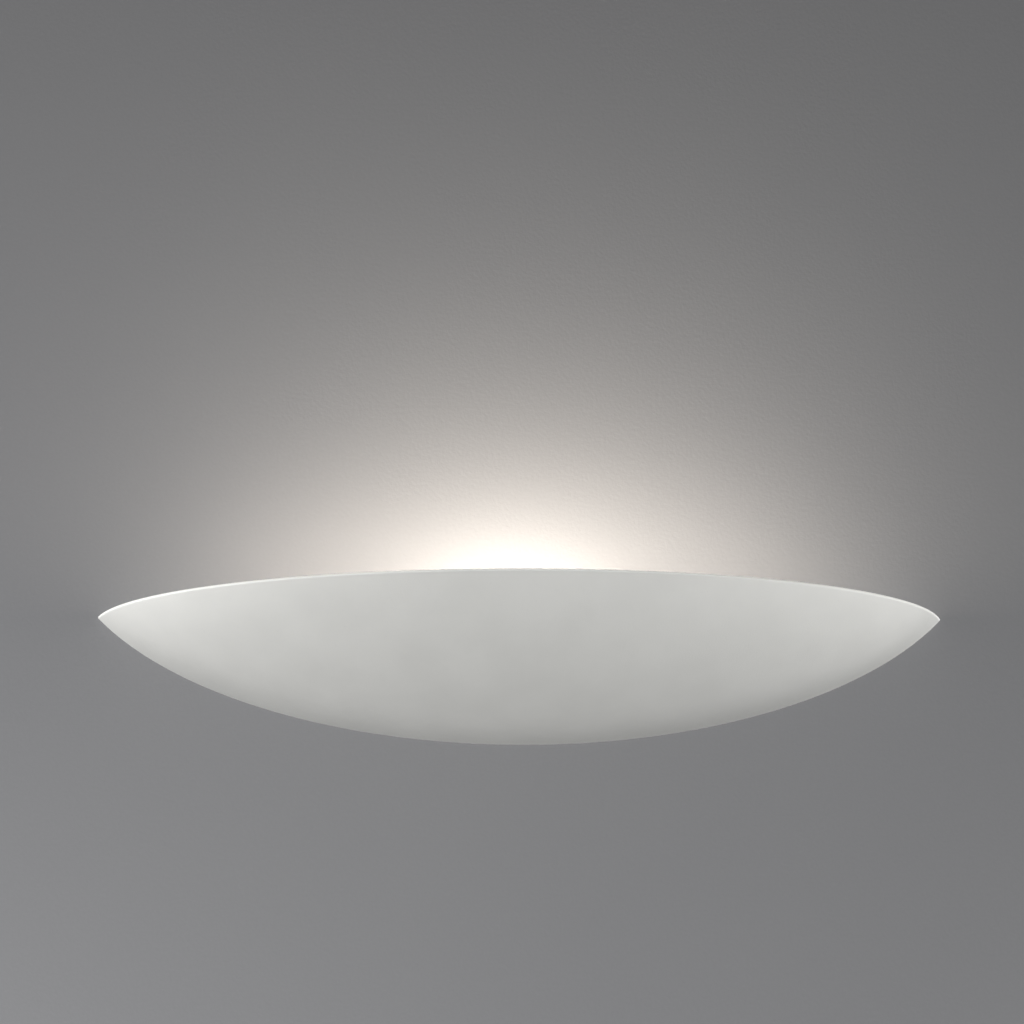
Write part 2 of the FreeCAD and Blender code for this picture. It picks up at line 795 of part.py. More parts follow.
def lamp_tube():
    """A quartz tube, drawn in at both ends to a flat pinch."""
    outside = turned("tube_outside", "x", [
        (f"-{PINCH_START}", "0"),
        (f"-{PINCH_START}", "tube_neck"),
        (f"-{TAPER_START}", "tube_width"),
        (TAPER_START, "tube_width"),
        (PINCH_START, "tube_neck"),
        (PINCH_START, "0"),
    ], y=LAMP_Y, z=LAMP_Z)
    cavity = turned("tube_cavity", "x", [
        (f"-{CAVITY_END}", "0"),
        (f"-{CAVITY_END}", "2 * filament_width"),
        (f"-{TAPER_START} + tube_wall", CAVITY_WIDTH),
        (f"{TAPER_START} - tube_wall", CAVITY_WIDTH),
        (CAVITY_END, "2 * filament_width"),
        (CAVITY_END, "0"),
    ], y=LAMP_Y, z=LAMP_Z)
    pinch = box("pinch_right", (f"{PINCH_START} - tube_wall", PINCH_END),
                (f"{LAMP_Y} - pinch_width / 2", f"{LAMP_Y} + pinch_width / 2"),
                (f"{LAMP_Z} - pinch_thick / 2", f"{LAMP_Z} + pinch_thick / 2"))
    solid = join("tube_solid", outside, pinch, mirror("pinch_left", pinch))
    return carve("tube", solid, cavity)


def lamp_filament():
    return rod("filament", "x", "filament_width", (f"-{CAVITY_END}", CAVITY_END),
               y=LAMP_Y, z=LAMP_Z)


def lamp_filament_supports():
    """Wire rings that centre the filament in the tube, each with a spoke."""
    rings = []
    outer = f"({CAVITY_WIDTH} / 2 - support_clearance)"
    for number, step in enumerate((-2, -1, 0, 1, 2), 1):
        place = {"x": f"{step} * support_pitch", "y": LAMP_Y, "z": LAMP_Z}
        ring = doc.addObject("Part::Torus", f"support_ring_{number}")
        ring.Placement = FreeCAD.Placement(Vector(), ALONG["x"])
        tie(ring, "Radius1", f"{outer} - support_wire / 2")
        tie(ring, "Radius2", "support_wire / 2")
        move(ring, **place)
        spoke = rod(f"support_spoke_{number}", "z", "support_wire * 0.8",
                    (f"{LAMP_Z} - {outer} + support_wire / 2", f"{LAMP_Z} - filament_width / 2"),
                    x=place["x"], y=place["y"])
        rings.append(join(f"support_{number}", ring, spoke))
    return gather("supports", *rings)


def lamp_cap():
    """A ceramic cap, slotted for the pinch and with a recess for the contact."""
    blank = turned("cap_blank", "x", [
        (CAP_INNER, "0"),
        (CAP_INNER, "cap_width - 2 * cap_edge"),
        (f"{CAP_INNER} + cap_edge", "cap_width"),
        (f"{LAMP_END} - cap_edge", "cap_width"),
        (LAMP_END, "cap_width - 2 * cap_edge"),
        (LAMP_END, "0"),
    ], y=LAMP_Y, z=LAMP_Z)
    slot_y = "(pinch_width / 2 + pinch_clearance)"
    slot_z = "(pinch_thick / 2 + pinch_clearance)"
    slot = box("cap_slot", (f"{CAP_INNER} - 1", PINCH_END),
               (f"{LAMP_Y} - {slot_y}", f"{LAMP_Y} + {slot_y}"),
               (f"{LAMP_Z} - {slot_z}", f"{LAMP_Z} + {slot_z}"))
    bore = rod("cap_bore", "x", "pin_width", (CAP_INNER, LAMP_END), y=LAMP_Y, z=LAMP_Z)
    recess = rod("cap_recess", "x", "cap_recess",
                 (f"{RECESS_FLOOR} - pin_head_thick", f"{LAMP_END} + 1"), y=LAMP_Y, z=LAMP_Z)
    return carve("cap_right", blank, slot, bore, recess)


def lamp_contact_pins():
    pin = turned("pin_right", "x", [
        (PINCH_END, "0"),
        (PINCH_END, "pin_width"),
        (f"{RECESS_FLOOR} - pin_head_thick", "pin_width"),
        (f"{RECESS_FLOOR} - pin_head_thick", "cap_recess - 2 * pin_clearance"),
        (RECESS_FLOOR, "cap_recess - 2 * pin_clearance"),
        (RECESS_FLOOR, "0"),
    ], y=LAMP_Y, z=LAMP_Z)
    return pair("pins", pin)


keep("lamp_tube", lamp_tube())
keep("lamp_filament", lamp_filament())
keep("lamp_filament_supports", lamp_filament_supports())
right_cap = keep("lamp_cap_right", lamp_cap())
keep("lamp_cap_left", mirror("cap_left", right_cap))
keep("lamp_contact_pins", lamp_contact_pins())


# ---------------------------------------------------------------- lampholders and their contacts

CRADLE_END = f"({HOLDER_INNER} + cradle_depth)"
CHAMBER_START = f"({CRADLE_END} + contact_guide)"
DISC_INNER = f"({HOLDER_OUTER} - disc_thick)"
CHAMBER_WIDTH = "(collar_width + 2 * collar_clearance)"
CRADLE_WIDTH = "(cap_width + 2 * cradle_clearance)"
HOLDER_LOW = f"({LAMP_Z} - holder_base)"
HOLDER_BACK = f"({LAMP_Y} + holder_width / 2)"
LEAD_X = f"({DISC_INNER} - lead_hole_inset)"
LEAD_BORE = "(lead_width + 2 * lead_clearance)"


def lampholder():
    """A steatite block: an open cradle for the lamp's cap, then the contact's guide and chamber."""
    front = f"{LAMP_Y} - holder_width / 2"
    top = f"{LAMP_Z} + holder_base"
    block = padded("holder_block", "YZ_Plane", [
        (front, HOLDER_LOW),
        (HOLDER_BACK, HOLDER_LOW),
        (HOLDER_BACK, top),
        (front, top),
    ], "holder_length")
    smooth = rounded("holder_rounded", block, ("holder_round", lambda edge: runs_along(edge, "x")))
    move(smooth, x=HOLDER_INNER)
    on_axis = {"y": LAMP_Y, "z": LAMP_Z}
    cradle = (f"{HOLDER_INNER} - 1", CRADLE_END)
    tools = [
        rod("cradle_round", "x", CRADLE_WIDTH, cradle, **on_axis),
        box("cradle_mouth", cradle,
            (f"{LAMP_Y} - {CRADLE_WIDTH} / 2", f"{LAMP_Y} + {CRADLE_WIDTH} / 2"),
            (LAMP_Z, f"{LAMP_Z} + holder_base + 1")),
        rod("contact_bore", "x", "contact_width + 2 * contact_clearance",
            (f"{CRADLE_END} - 1", f"{CHAMBER_START} + 1"), **on_axis),
        rod("spring_chamber", "x", CHAMBER_WIDTH, (CHAMBER_START, f"{HOLDER_OUTER} + 1"), **on_axis),
        rod("disc_seat", "x", "disc_width + 2 * disc_clearance",
            (DISC_INNER, f"{HOLDER_OUTER} + 1"), **on_axis),
        rod("lead_hole", "y", LEAD_BORE, (LAMP_Y, f"{HOLDER_BACK} + 1"), x=LEAD_X, z=LAMP_Z),
    ]
    tools += holder_screw_holes("holder", f"{HOLDER_OUTER} - holder_screw_depth",
                                f"{HOLDER_OUTER} + 1")
    return carve("holder_right", smooth, *tools)


def holder_screws():
    """Two screws through each end tab into its lampholder."""
    screws = []
    for number, place in enumerate(holder_screw_places(), 1):
        right = screw(f"holder_screw_{number}", "x",
                      (CARRIER_OUTER, f"({HOLDER_OUTER} - holder_screw_depth)"),
                      ("small_screw_bore", "small_screw_head"),
                      "small_screw_head_thick", "small_screw_slot", **place)
        screws += [right, mirror(f"holder_screw_{number}_left", right)]
    return gather("holder_screws", *screws)


def insulator_discs():
    disc = rod("disc_right", "x", "disc_width", (DISC_INNER, HOLDER_OUTER), y=LAMP_Y, z=LAMP_Z)
    return pair("discs", disc)


CONTACT_TIP = f"({RECESS_FLOOR} + contact_gap)"
COLLAR_FRONT = f"({CHAMBER_START} + contact_travel + collar_stop_gap)"
COLLAR_BACK = f"({COLLAR_FRONT} + collar_thick)"


def contact():
    """A plunger with a domed tip, a collar for its spring and a tail inside the spring."""
    return turned("contact_plunger", "x", [
        (CONTACT_TIP, "0"),
        (CONTACT_TIP, "contact_tip"),
        (f"{CONTACT_TIP} + contact_tip_length", "contact_width"),
        (COLLAR_FRONT, "contact_width"),
        (COLLAR_FRONT, "collar_width"),
        (COLLAR_BACK, "collar_width"),
        (COLLAR_BACK, "tail_width"),
        (f"{COLLAR_BACK} + tail_length", "tail_width"),
        (f"{COLLAR_BACK} + tail_length", "0"),
    ], y=LAMP_Y, z=LAMP_Z)


def contact_spring():
    """A coil between the contact's collar and the insulating disc."""
    coil = f"({DISC_INNER} - {COLLAR_BACK} - spring_wire)"
    helix = doc.addObject("Part::Helix", "spring_helix")
    helix.Placement = FreeCAD.Placement(Vector(), ALONG["x"])
    tie(helix, "Height", coil)
    tie(helix, "Pitch", f"{coil} / spring_turns")
    tie(helix, "Radius", "(spring_width - spring_wire) / 2")
    move(helix, x=f"{COLLAR_BACK} + spring_wire / 2", y=LAMP_Y, z=LAMP_Z)
    wire = doc.addObject("Part::Circle", "spring_section")
    tie(wire, "Radius", "spring_wire / 2")
    wire.Placement = FreeCAD.Placement(Vector(), FreeCAD.Rotation(Vector(0, 1, 0), 90))
    doc.recompute()
    start = helix.Shape.Edges[0].valueAt(helix.Shape.Edges[0].FirstParameter)
    along = helix.Shape.Edges[0].tangentAt(helix.Shape.Edges[0].FirstParameter)
    wire.Placement = FreeCAD.Placement(start, FreeCAD.Rotation(Vector(0, 0, 1), along))
    sweep = doc.addObject("Part::Sweep", "spring_right")
    sweep.Sections = [wire]
    sweep.Spine = (helix, [])
    sweep.Solid = True
    sweep.Frenet = True
    return sweep


right_holder = keep("lampholder_right", lampholder())
keep("lampholder_left", mirror("holder_left", right_holder))
keep("holder_screws", holder_screws())
keep("insulator_discs", insulator_discs())
right_contact = keep("contact_right", contact())
keep("contact_left", mirror("contact_plunger_left", right_contact))
right_spring = keep("contact_spring_right", contact_spring())
keep("contact_spring_left", mirror("spring_left", right_spring))


# ---------------------------------------------------------------- terminal block and earth

POLES = (-1, 0, 1)
POLE_Y = "(-plate_thick - pole_out)"
BLOCK_FRONT = "(-plate_thick - block_depth)"


def pole_x(pole):
    """Live, neutral and earth, counted from the left."""
    return f"({BLOCK_X} + {pole} * {POLE_PITCH})"


FIXING_SEAT = f"({BLOCK_FRONT} + fixing_screw_inset + fixing_screw_head_thick)"
CLAMP_SEAT = f"({BLOCK_FRONT} + clamp_screw_inset + clamp_screw_head_thick)"
CLAMP_TIP = f"({POLE_Y} - ferrule_pin / 2)"


def terminal_block():
    half = f"(1.5 * {POLE_PITCH} + block_end)"
    block = box("block_blank", (f"{BLOCK_X} - {half}", f"{BLOCK_X} + {half}"),
                (BLOCK_FRONT, "-plate_thick"), ("-block_height / 2", "block_height / 2"))
    tools = [
        rod("block_fixing_hole", "y", "fixing_screw_bore + 2 * well_clearance",
            (f"{BLOCK_FRONT} - 1", "1 - plate_thick"), x=FIXING_X),
        rod("block_fixing_well", "y", "fixing_screw_head + 2 * well_clearance",
            (f"{BLOCK_FRONT} - 1", FIXING_SEAT), x=FIXING_X),
    ]
    for pole in POLES:
        label = f"pole_{pole + 2}"
        tools.append(rod(label + "_bore", "z", "insert_width",
                         ("-insert_length / 2", "insert_length / 2"), x=pole_x(pole), y=POLE_Y))
        tools.append(rod(label + "_entry", "z", "ferrule_collar + 2 * well_clearance",
                         ("-block_height", "block_height"), x=pole_x(pole), y=POLE_Y))
        for side, place in (("low", "-clamp_screw_rise"), ("high", "clamp_screw_rise")):
            tools.append(rod(f"{label}_{side}_well", "y", "clamp_screw_head + 2 * well_clearance",
                             (f"{BLOCK_FRONT} - 1", POLE_Y), x=pole_x(pole), z=place))
    return carve("block", block, *tools)


def terminal_inserts():
    """A brass tube in each pole, tapped for two clamping screws."""
    inserts = []
    for pole in POLES:
        label = f"insert_{pole + 2}"
        ends = ("-insert_length / 2", "insert_length / 2")
        tube = rod(label + "_outer", "z", "insert_width", ends, x=pole_x(pole), y=POLE_Y)
        tools = [rod(label + "_bore", "z", "insert_bore",
                     ("-insert_length", "insert_length"), x=pole_x(pole), y=POLE_Y)]
        for side, place in (("low", "-clamp_screw_rise"), ("high", "clamp_screw_rise")):
            tools.append(rod(f"{label}_{side}_tap", "y", "clamp_screw_bore",
                             (BLOCK_FRONT, POLE_Y), x=pole_x(pole), z=place))
        inserts.append(carve(label, tube, *tools))
    return gather("inserts", *inserts)


def terminal_screws():
    screws = []
    for pole in POLES:
        for side, place in (("low", "-clamp_screw_rise"), ("high", "clamp_screw_rise")):
            screws.append(screw(f"clamp_{pole + 2}_{side}", "y", (CLAMP_SEAT, CLAMP_TIP),
                                ("clamp_screw_bore", "clamp_screw_head"),
                                "clamp_screw_head_thick", "clamp_screw_slot",
                                x=pole_x(pole), z=place))
    return gather("clamp_screws", *screws)


def terminal_fixing_screw():
    return screw("fixing_screw", "y", (FIXING_SEAT, "0"), ("fixing_screw_bore", "fixing_screw_head"),
                 "fixing_screw_head_thick", "clamp_screw_slot", x=FIXING_X, z="0")


TAG_FRONT = "(-plate_thick - tag_thick)"
EARTH_SEAT = f"({TAG_FRONT} - earth_washer_thick)"
TAG_BARREL = f"({LEAD_BORE} + 2 * tag_barrel_wall)"
TAG_BARREL_Y = f"(-plate_thick - {TAG_BARREL} / 2)"
TAG_BARREL_TOP = "(tag_barrel_rise + tag_barrel_length)"


def earth_tag():
    """A ring tag with a crimp barrel that points up."""
    thick = (TAG_FRONT, "-plate_thick")
    ring = rod("tag_ring", "y", "tag_ring", thick, x=EARTH_X)
    neck = box("tag_neck", (f"{EARTH_X} - tag_neck / 2", f"{EARTH_X} + tag_neck / 2"), thick,
               ("0", "tag_barrel_rise + 1"))
    barrel = rod("tag_barrel", "z", TAG_BARREL, ("tag_barrel_rise", TAG_BARREL_TOP),
                 x=EARTH_X, y=TAG_BARREL_Y)
    hole = rod("tag_hole", "y", "screw_bore + 2 * screw_clearance",
               (f"{TAG_FRONT} - 1", "1 - plate_thick"), x=EARTH_X)
    bore = rod("tag_bore", "z", LEAD_BORE, ("tag_barrel_rise - 1", f"{TAG_BARREL_TOP} + 1"),
               x=EARTH_X, y=TAG_BARREL_Y)
    return carve("tag", join("tag_blank", ring, neck, barrel), hole, bore)


def earth_washer():
    bore = "screw_bore + 2 * screw_clearance"
    return turned("earth_washer_ring", "y", [
        (TAG_FRONT, bore),
        (TAG_FRONT, "earth_washer_width"),
        (EARTH_SEAT, "earth_washer_width"),
        (EARTH_SEAT, bore),
    ], x=EARTH_X)


def earth_screw():
    return screw("earth_screw_m4", "y", (EARTH_SEAT, "0"), ("screw_bore", "screw_head"),
                 "screw_head_thick", "screw_slot", x=EARTH_X, z="0")


FERRULE_TOP = "(block_height / 2 + ferrule_collar_length)"
LEAD_FOOT = "(block_height / 2 + 1)"


def lead_ferrules():
    """A crimped pin in each pole, with a collar round the end of its lead."""
    ferrules = []
    for pole in POLES:
        ferrules.append(turned(f"ferrule_{pole + 2}", "z", [
            (f"{LEAD_FOOT} - 1 - ferrule_pin_length", "0"),
            (f"{LEAD_FOOT} - 1 - ferrule_pin_length", "ferrule_pin"),
            (f"{LEAD_FOOT} - 1", "ferrule_pin"),
            (f"{LEAD_FOOT} - 1", "ferrule_collar"),
            (FERRULE_TOP, "ferrule_collar"),
            (FERRULE_TOP, "lead_width + 2 * ferrule_clearance"),
            (LEAD_FOOT, "lead_width + 2 * ferrule_clearance"),
            (LEAD_FOOT, "0"),
        ], x=pole_x(pole), y=POLE_Y))
    return gather("ferrules", *ferrules)


keep("terminal_block", terminal_block())
keep("terminal_inserts", terminal_inserts())
keep("terminal_screws", terminal_screws())
keep("terminal_fixing_screw", terminal_fixing_screw())
keep("earth_tag", earth_tag())
keep("earth_washer", earth_washer())
keep("earth_screw", earth_screw())
keep("lead_ferrules", lead_ferrules())


# ---------------------------------------------------------------- leads

def lead(name, route):
    """A round lead: straight runs joined by arcs as large as the runs on either side allow."""
    points = [Vector(*point) for point in route]
    edges = []
    radii = []
    start = points[0]
    for before, corner, after in zip(points, points[1:], points[2:]):
        way_in = (corner - before).normalize()
        way_out = (after - corner).normalize()
        turn = way_in.getAngle(way_out)
        reach = 0.45 * min((corner - before).Length, (after - corner).Length)
        first = corner - way_in * reach
        last = corner + way_out * reach
        radius = reach / math.tan(turn / 2)
        centre = corner + (way_out - way_in).normalize() * (radius / math.cos(turn / 2))
        middle = centre + (corner - centre).normalize() * radius
        edges.append(Part.LineSegment(start, first).toShape())
        edges.append(Part.Arc(first, middle, last).toShape())
        radii.append(radius)
        start = last
    edges.append(Part.LineSegment(start, points[-1]).toShape())
    path = Part.Wire(edges)
    half = size("lead_width") / 2
    section = Part.Wire(Part.makeCircle(half, points[0], points[1] - points[0]))
    tube = path.makePipeShell([section], True, False)
    expected = math.pi * half ** 2 * path.Length
    print(f"{name}: length {path.Length:.1f}, radii {[round(radius, 1) for radius in radii]}, "
          f"volume {tube.Volume:.1f} against {expected:.1f}")
    piece = doc.addObject("Part::Feature", name)
    piece.Shape = tube
    return piece


holder_outer = size("lamp_length") / 2 - size("cap_entry") + size("holder_length")
lead_x = holder_outer - size("disc_thick") - size("lead_hole_inset")
lamp_y = -size("lamp_out")
lamp_z = size("lamp_rise")
chamber_back = lamp_y + size("collar_width") / 2 + size("collar_clearance")
lead_start_y = chamber_back + size("lead_end_gap")
holder_back = lamp_y + size("holder_width") / 2
pole_y = -size("plate_thick") - size("pole_out")
lead_foot = size("block_height") / 2 + 1
earth_x = -size("wall_screw_spacing") / 2 - size("earth_spacing")
block_x = earth_x - size("block_spacing")
pole_pitch = size("insert_width") + size("fixing_screw_bore") + 2 * size("pole_gap")
live_x, neutral_x, earth_pole_x = [
    block_x + pole * pole_pitch for pole in POLES]
clip_outer = size("lead_width") + 2 * size("lead_clearance") + 2 * size("clip_band")
clipped_y = -size("plate_thick") - size("sheet_thick") - clip_outer / 2
clipped_z = size("carrier_screw_rise") + size("clip_reach")
clip_x = size("carrier_screw_spacing") / 2
barrel_y = -size("plate_thick") - size("lead_width") / 2 - size("lead_clearance")
barrel_y -= size("tag_barrel_wall")
barrel_low = size("tag_barrel_rise") + 1

keep("live_lead", lead("live_wire", [
    (-lead_x, lead_start_y, lamp_z),
    (-lead_x, holder_back + 10, lamp_z),
    (-79, -29, 19),
    (-89, -20, 27),
    (-103, -15, 31),
    (live_x, -9, 27),
    (live_x, pole_y, 18),
    (live_x, pole_y, lead_foot),
]))
keep("neutral_lead", lead("neutral_wire", [
    (lead_x, lead_start_y, lamp_z),
    (lead_x, holder_back + 10, lamp_z),
    (69, -28, 14),
    (59, -14, 13.2),
    (clip_x + 16, clipped_y, clipped_z),
    (-clip_x - 16, clipped_y, clipped_z),
    (-58, -8, 14),
    (-74, -13, 20),
    (-88, -14.5, 26),
    (-100, -11.5, 25),
    (neutral_x, pole_y, 18),
    (neutral_x, pole_y, lead_foot),
]))
keep("earth_lead", lead("earth_wire", [
    (earth_x, barrel_y, barrel_low),
    (earth_x, barrel_y, 18),
    (earth_x - 5, barrel_y - 1, 23),
    (earth_pole_x + 5, pole_y + 1, 23),
    (earth_pole_x, pole_y, 18),
    (earth_pole_x, pole_y, lead_foot),
]))


# ---------------------------------------------------------------- check and write

doc.recompute()
for piece in doc.Objects:
    if "Invalid" in piece.State or "Error" in piece.State:
        raise RuntimeError(f"{piece.Label} did not compute: {piece.State}")
os.makedirs("parts", exist_ok=True)
for node in nodes:
    if node.Shape.isNull() or not node.Shape.isValid():
        raise RuntimeError(f"{node.Label} has no valid shape")
for node in nodes:
    node.Shape.exportStep(f"parts/{node.Label}.step")
    box_now = node.Shape.BoundBox
    print(f"{node.Label}: {len(node.Shape.Solids)} solids, {node.Shape.Volume / 1000:.3f} cm3, "
          f"{box_now.XLength:.1f} x {box_now.YLength:.1f} x {box_now.ZLength:.1f}")
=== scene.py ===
import json
import math

import bpy
import numpy as np
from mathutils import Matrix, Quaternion, Vector

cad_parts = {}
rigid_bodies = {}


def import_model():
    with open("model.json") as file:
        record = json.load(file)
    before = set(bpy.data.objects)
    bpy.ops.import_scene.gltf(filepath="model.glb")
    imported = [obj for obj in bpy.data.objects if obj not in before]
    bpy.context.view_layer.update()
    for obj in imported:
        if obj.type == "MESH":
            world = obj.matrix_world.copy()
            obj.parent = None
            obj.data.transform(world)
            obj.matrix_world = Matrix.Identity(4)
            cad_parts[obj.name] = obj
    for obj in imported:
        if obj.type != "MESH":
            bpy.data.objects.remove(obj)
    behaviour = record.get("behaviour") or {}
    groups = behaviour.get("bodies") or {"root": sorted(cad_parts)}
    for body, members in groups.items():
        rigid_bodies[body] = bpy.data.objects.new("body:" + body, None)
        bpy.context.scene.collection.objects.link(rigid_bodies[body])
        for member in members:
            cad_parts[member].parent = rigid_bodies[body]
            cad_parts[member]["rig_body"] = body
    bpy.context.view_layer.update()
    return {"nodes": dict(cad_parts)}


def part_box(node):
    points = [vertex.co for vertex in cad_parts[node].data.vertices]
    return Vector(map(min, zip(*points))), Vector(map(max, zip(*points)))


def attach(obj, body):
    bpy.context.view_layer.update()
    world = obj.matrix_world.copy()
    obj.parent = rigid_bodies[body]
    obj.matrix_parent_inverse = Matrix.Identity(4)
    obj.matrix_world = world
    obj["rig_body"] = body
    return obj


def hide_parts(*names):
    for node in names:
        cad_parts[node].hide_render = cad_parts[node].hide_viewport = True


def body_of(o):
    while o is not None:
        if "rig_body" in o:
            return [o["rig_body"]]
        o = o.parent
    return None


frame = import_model()
nodes = frame["nodes"]
scene = bpy.context.scene
MM = 0.001


def mm(*point):
    return Vector(point) * MM


# ---------------------------------------------------------------- material helpers

# The sockets of a Mix node that carry colours.
MIX_FIRST, MIX_SECOND, MIX_RESULT = 6, 7, 2


class Paint:
    """A node material under construction: its tree, its shader and shorthands for its nodes."""

    def __init__(self, name, **values):
        self.material = bpy.data.materials.new(name)
        self.material.use_nodes = True
        self.tree = self.material.node_tree
        self.shader = self.tree.nodes["Principled BSDF"]
        for socket, value in values.items():
            self.shader.inputs[socket.replace("_", " ")].default_value = value
        self.place = self.node("ShaderNodeTexCoord").outputs["Object"]

    def node(self, kind, **settings):
        made = self.tree.nodes.new(kind)
        for key, value in settings.items():
            setattr(made, key, value)
        return made

    def link(self, source, target):
        self.tree.links.new(source, target)

    def stretched(self, scale, rotation=(0, 0, 0), source=None):
        mapping = self.node("ShaderNodeMapping")
        mapping.inputs["Scale"].default_value = scale
        mapping.inputs["Rotation"].default_value = rotation
        self.link(source or self.place, mapping.inputs["Vector"])
        return mapping.outputs["Vector"]

    def noise(self, scale, detail, source=None):
        made = self.node("ShaderNodeTexNoise")
        made.inputs["Scale"].default_value = scale
        made.inputs["Detail"].default_value = detail
        self.link(source or self.place, made.inputs["Vector"])
        return made.outputs["Fac"]

    def cells(self, scale):
        made = self.node("ShaderNodeTexVoronoi")
        made.inputs["Scale"].default_value = scale
        self.link(self.place, made.inputs["Vector"])
        return made

    def bands(self, scale, source):
        made = self.node("ShaderNodeTexWave", wave_type="BANDS", bands_direction="X")
        made.inputs["Scale"].default_value = scale
        self.link(source, made.inputs["Vector"])
        return made

    def spread(self, source, low, high, start=0.3, end=0.7):
        """The source's values from start to end, drawn out to reach from low to high."""
        made = self.node("ShaderNodeMapRange")
        made.inputs["From Min"].default_value = start
        made.inputs["From Max"].default_value = end
        made.inputs["To Min"].default_value = low
        made.inputs["To Max"].default_value = high
        self.link(source, made.inputs["Value"])
        return made.outputs["Result"]

    def math(self, operation, *sources):
        made = self.node("ShaderNodeMath", operation=operation)
        for socket, source in zip(made.inputs, sources):
            self.link(source, socket)
        return made.outputs["Value"]

    def mixed(self, factor, first, second):
        made = self.node("ShaderNodeMix", data_type="RGBA")
        self.link(factor, made.inputs["Factor"])
        for socket, source in ((made.inputs[MIX_FIRST], first), (made.inputs[MIX_SECOND], second)):
            if isinstance(source, tuple):
                socket.default_value = (*source, 1)
            else:
                self.link(source, socket)
        return made.outputs[MIX_RESULT]

    def colour(self, factor, first, second):
        self.link(self.mixed(factor, first, second), self.shader.inputs["Base Color"])

    def rough(self, source, low, high):
        self.link(self.spread(source, low, high), self.shader.inputs["Roughness"])

    def bump(self, source, distance, strength, below=None):
        made = self.node("ShaderNodeBump")
        made.inputs["Distance"].default_value = distance
        made.inputs["Strength"].default_value = strength
        self.link(source, made.inputs["Height"])
        if below is not None:
            self.link(below, made.inputs["Normal"])
        self.link(made.outputs["Normal"], self.shader.inputs["Normal"])
        return made.outputs["Normal"]


def shade(value, amount):
    return tuple(channel * amount for channel in value)


def bisque(name, colour, speckle, roughness, grain):
    """Fired, unglazed ceramic: cloudy tone, dark specks, a grainy skin."""
    paint = Paint(name)
    clouds = paint.spread(paint.noise(26, detail=4), 0, 1, start=0.35, end=0.65)
    tone = paint.mixed(clouds, shade(colour, 0.972), shade(colour, 1.012))
    specks = paint.cells(speckle)
    spot = paint.spread(specks.outputs["Distance"], 1, 0, start=0.06, end=0.16)
    chosen = paint.spread(paint.noise(speckle * 0.37, detail=1), 0, 1, start=0.58, end=0.64)
    paint.colour(paint.math("MULTIPLY", spot, chosen), tone, shade(colour, 0.86))
    skin = paint.noise(grain, detail=5)
    paint.rough(skin, *roughness)
    wave = paint.bump(paint.noise(38, detail=2), distance=0.0011, strength=0.22)
    paint.bump(skin, distance=0.00022, strength=0.55, below=wave)
    return paint.material


def plated(name, colour, roughness):
    """Plated metal: a crystalline tone, stains and fine wear marks."""
    paint = Paint(name, Metallic=1.0)
    crystals = paint.cells(170)
    tone = paint.mixed(crystals.outputs["Color"], shade(colour, 0.9), shade(colour, 1.04))
    stains = paint.spread(paint.noise(45, detail=4), 0, 1, start=0.45, end=0.75)
    paint.colour(stains, tone, shade(colour, 0.8))
    wear = paint.noise(900, detail=4)
    paint.rough(wear, *roughness)
    paint.bump(wear, distance=0.00008, strength=0.5)
    return paint.material


def drawn(name, colour, roughness, stretch, scale):
    """Metal with a lengthwise grain from rolling, drawing or turning."""
    paint = Paint(name, Metallic=1.0)
    grain = paint.noise(scale, detail=5, source=paint.stretched(stretch))
    paint.colour(paint.spread(grain, 0, 1), shade(colour, 0.88), shade(colour, 1.03))
    paint.rough(grain, *roughness)
    paint.bump(grain, distance=0.00005, strength=0.6)
    return paint.material


def moulded(name, colour, roughness):
    """Moulded plastic: faint flow marks and a fine spark-eroded grain."""
    paint = Paint(name)
    flow = paint.spread(paint.noise(70, detail=3), 0, 1, start=0.4, end=0.7)
    paint.colour(flow, colour, shade(colour, 0.93))
    grain = paint.noise(1400, detail=2)
    paint.rough(grain, *roughness)
    paint.bump(grain, distance=0.00006, strength=0.5)
    return paint.material


# The turn and scale of the braid's strands and of its coloured stripe, the softness of the
# stripe's edge, and how dark the painted shade in the gaps between strands is.
STRAND_TURN, STRAND_SCALE = math.radians(45), 2.55
STRIPE_TURN, STRIPE_SCALE, STRIPE_EDGE = math.radians(62), 0.16, 0.03
STRAND_GAP_SHADE = 0.45


def braid(name, colour, second, share):
    """A woven sleeve; its strands cross along the lead's own length and girth, with painted shade
    in the gaps between them.
    """
    paint = Paint(name)
    route = paint.node("ShaderNodeUVMap", uv_map="route").outputs["UV"]
    strands = []
    for turn in (STRAND_TURN, -STRAND_TURN):
        wave = paint.bands(STRAND_SCALE, paint.stretched((1, 1, 1), (0, 0, turn), route))
        wave.inputs["Distortion"].default_value = 0.25
        wave.inputs["Detail"].default_value = 1
        strands.append(wave.outputs["Fac"])
    weave = paint.math("MAXIMUM", *strands)
    stripe = paint.bands(STRIPE_SCALE, paint.stretched((1, 1, 1), (0, 0, STRIPE_TURN), route))
    part = paint.spread(
        stripe.outputs["Fac"], 0, 1, start=share - STRIPE_EDGE, end=share + STRIPE_EDGE)
    thread = paint.mixed(part, colour, second)
    # Painted shade: the gaps between the strands are drawn darker, where shade falls between them.
    shadow = paint.mixed(part, shade(colour, STRAND_GAP_SHADE), shade(second, STRAND_GAP_SHADE))
    paint.colour(paint.spread(weave, 0, 1, start=0.35, end=0.85), shadow, thread)
    paint.rough(paint.noise(2500, detail=2), 0.62, 0.85)
    paint.bump(weave, distance=0.00016, strength=0.8)
    paint.shader.inputs["Sheen Weight"].default_value = 0.25
    return paint.material


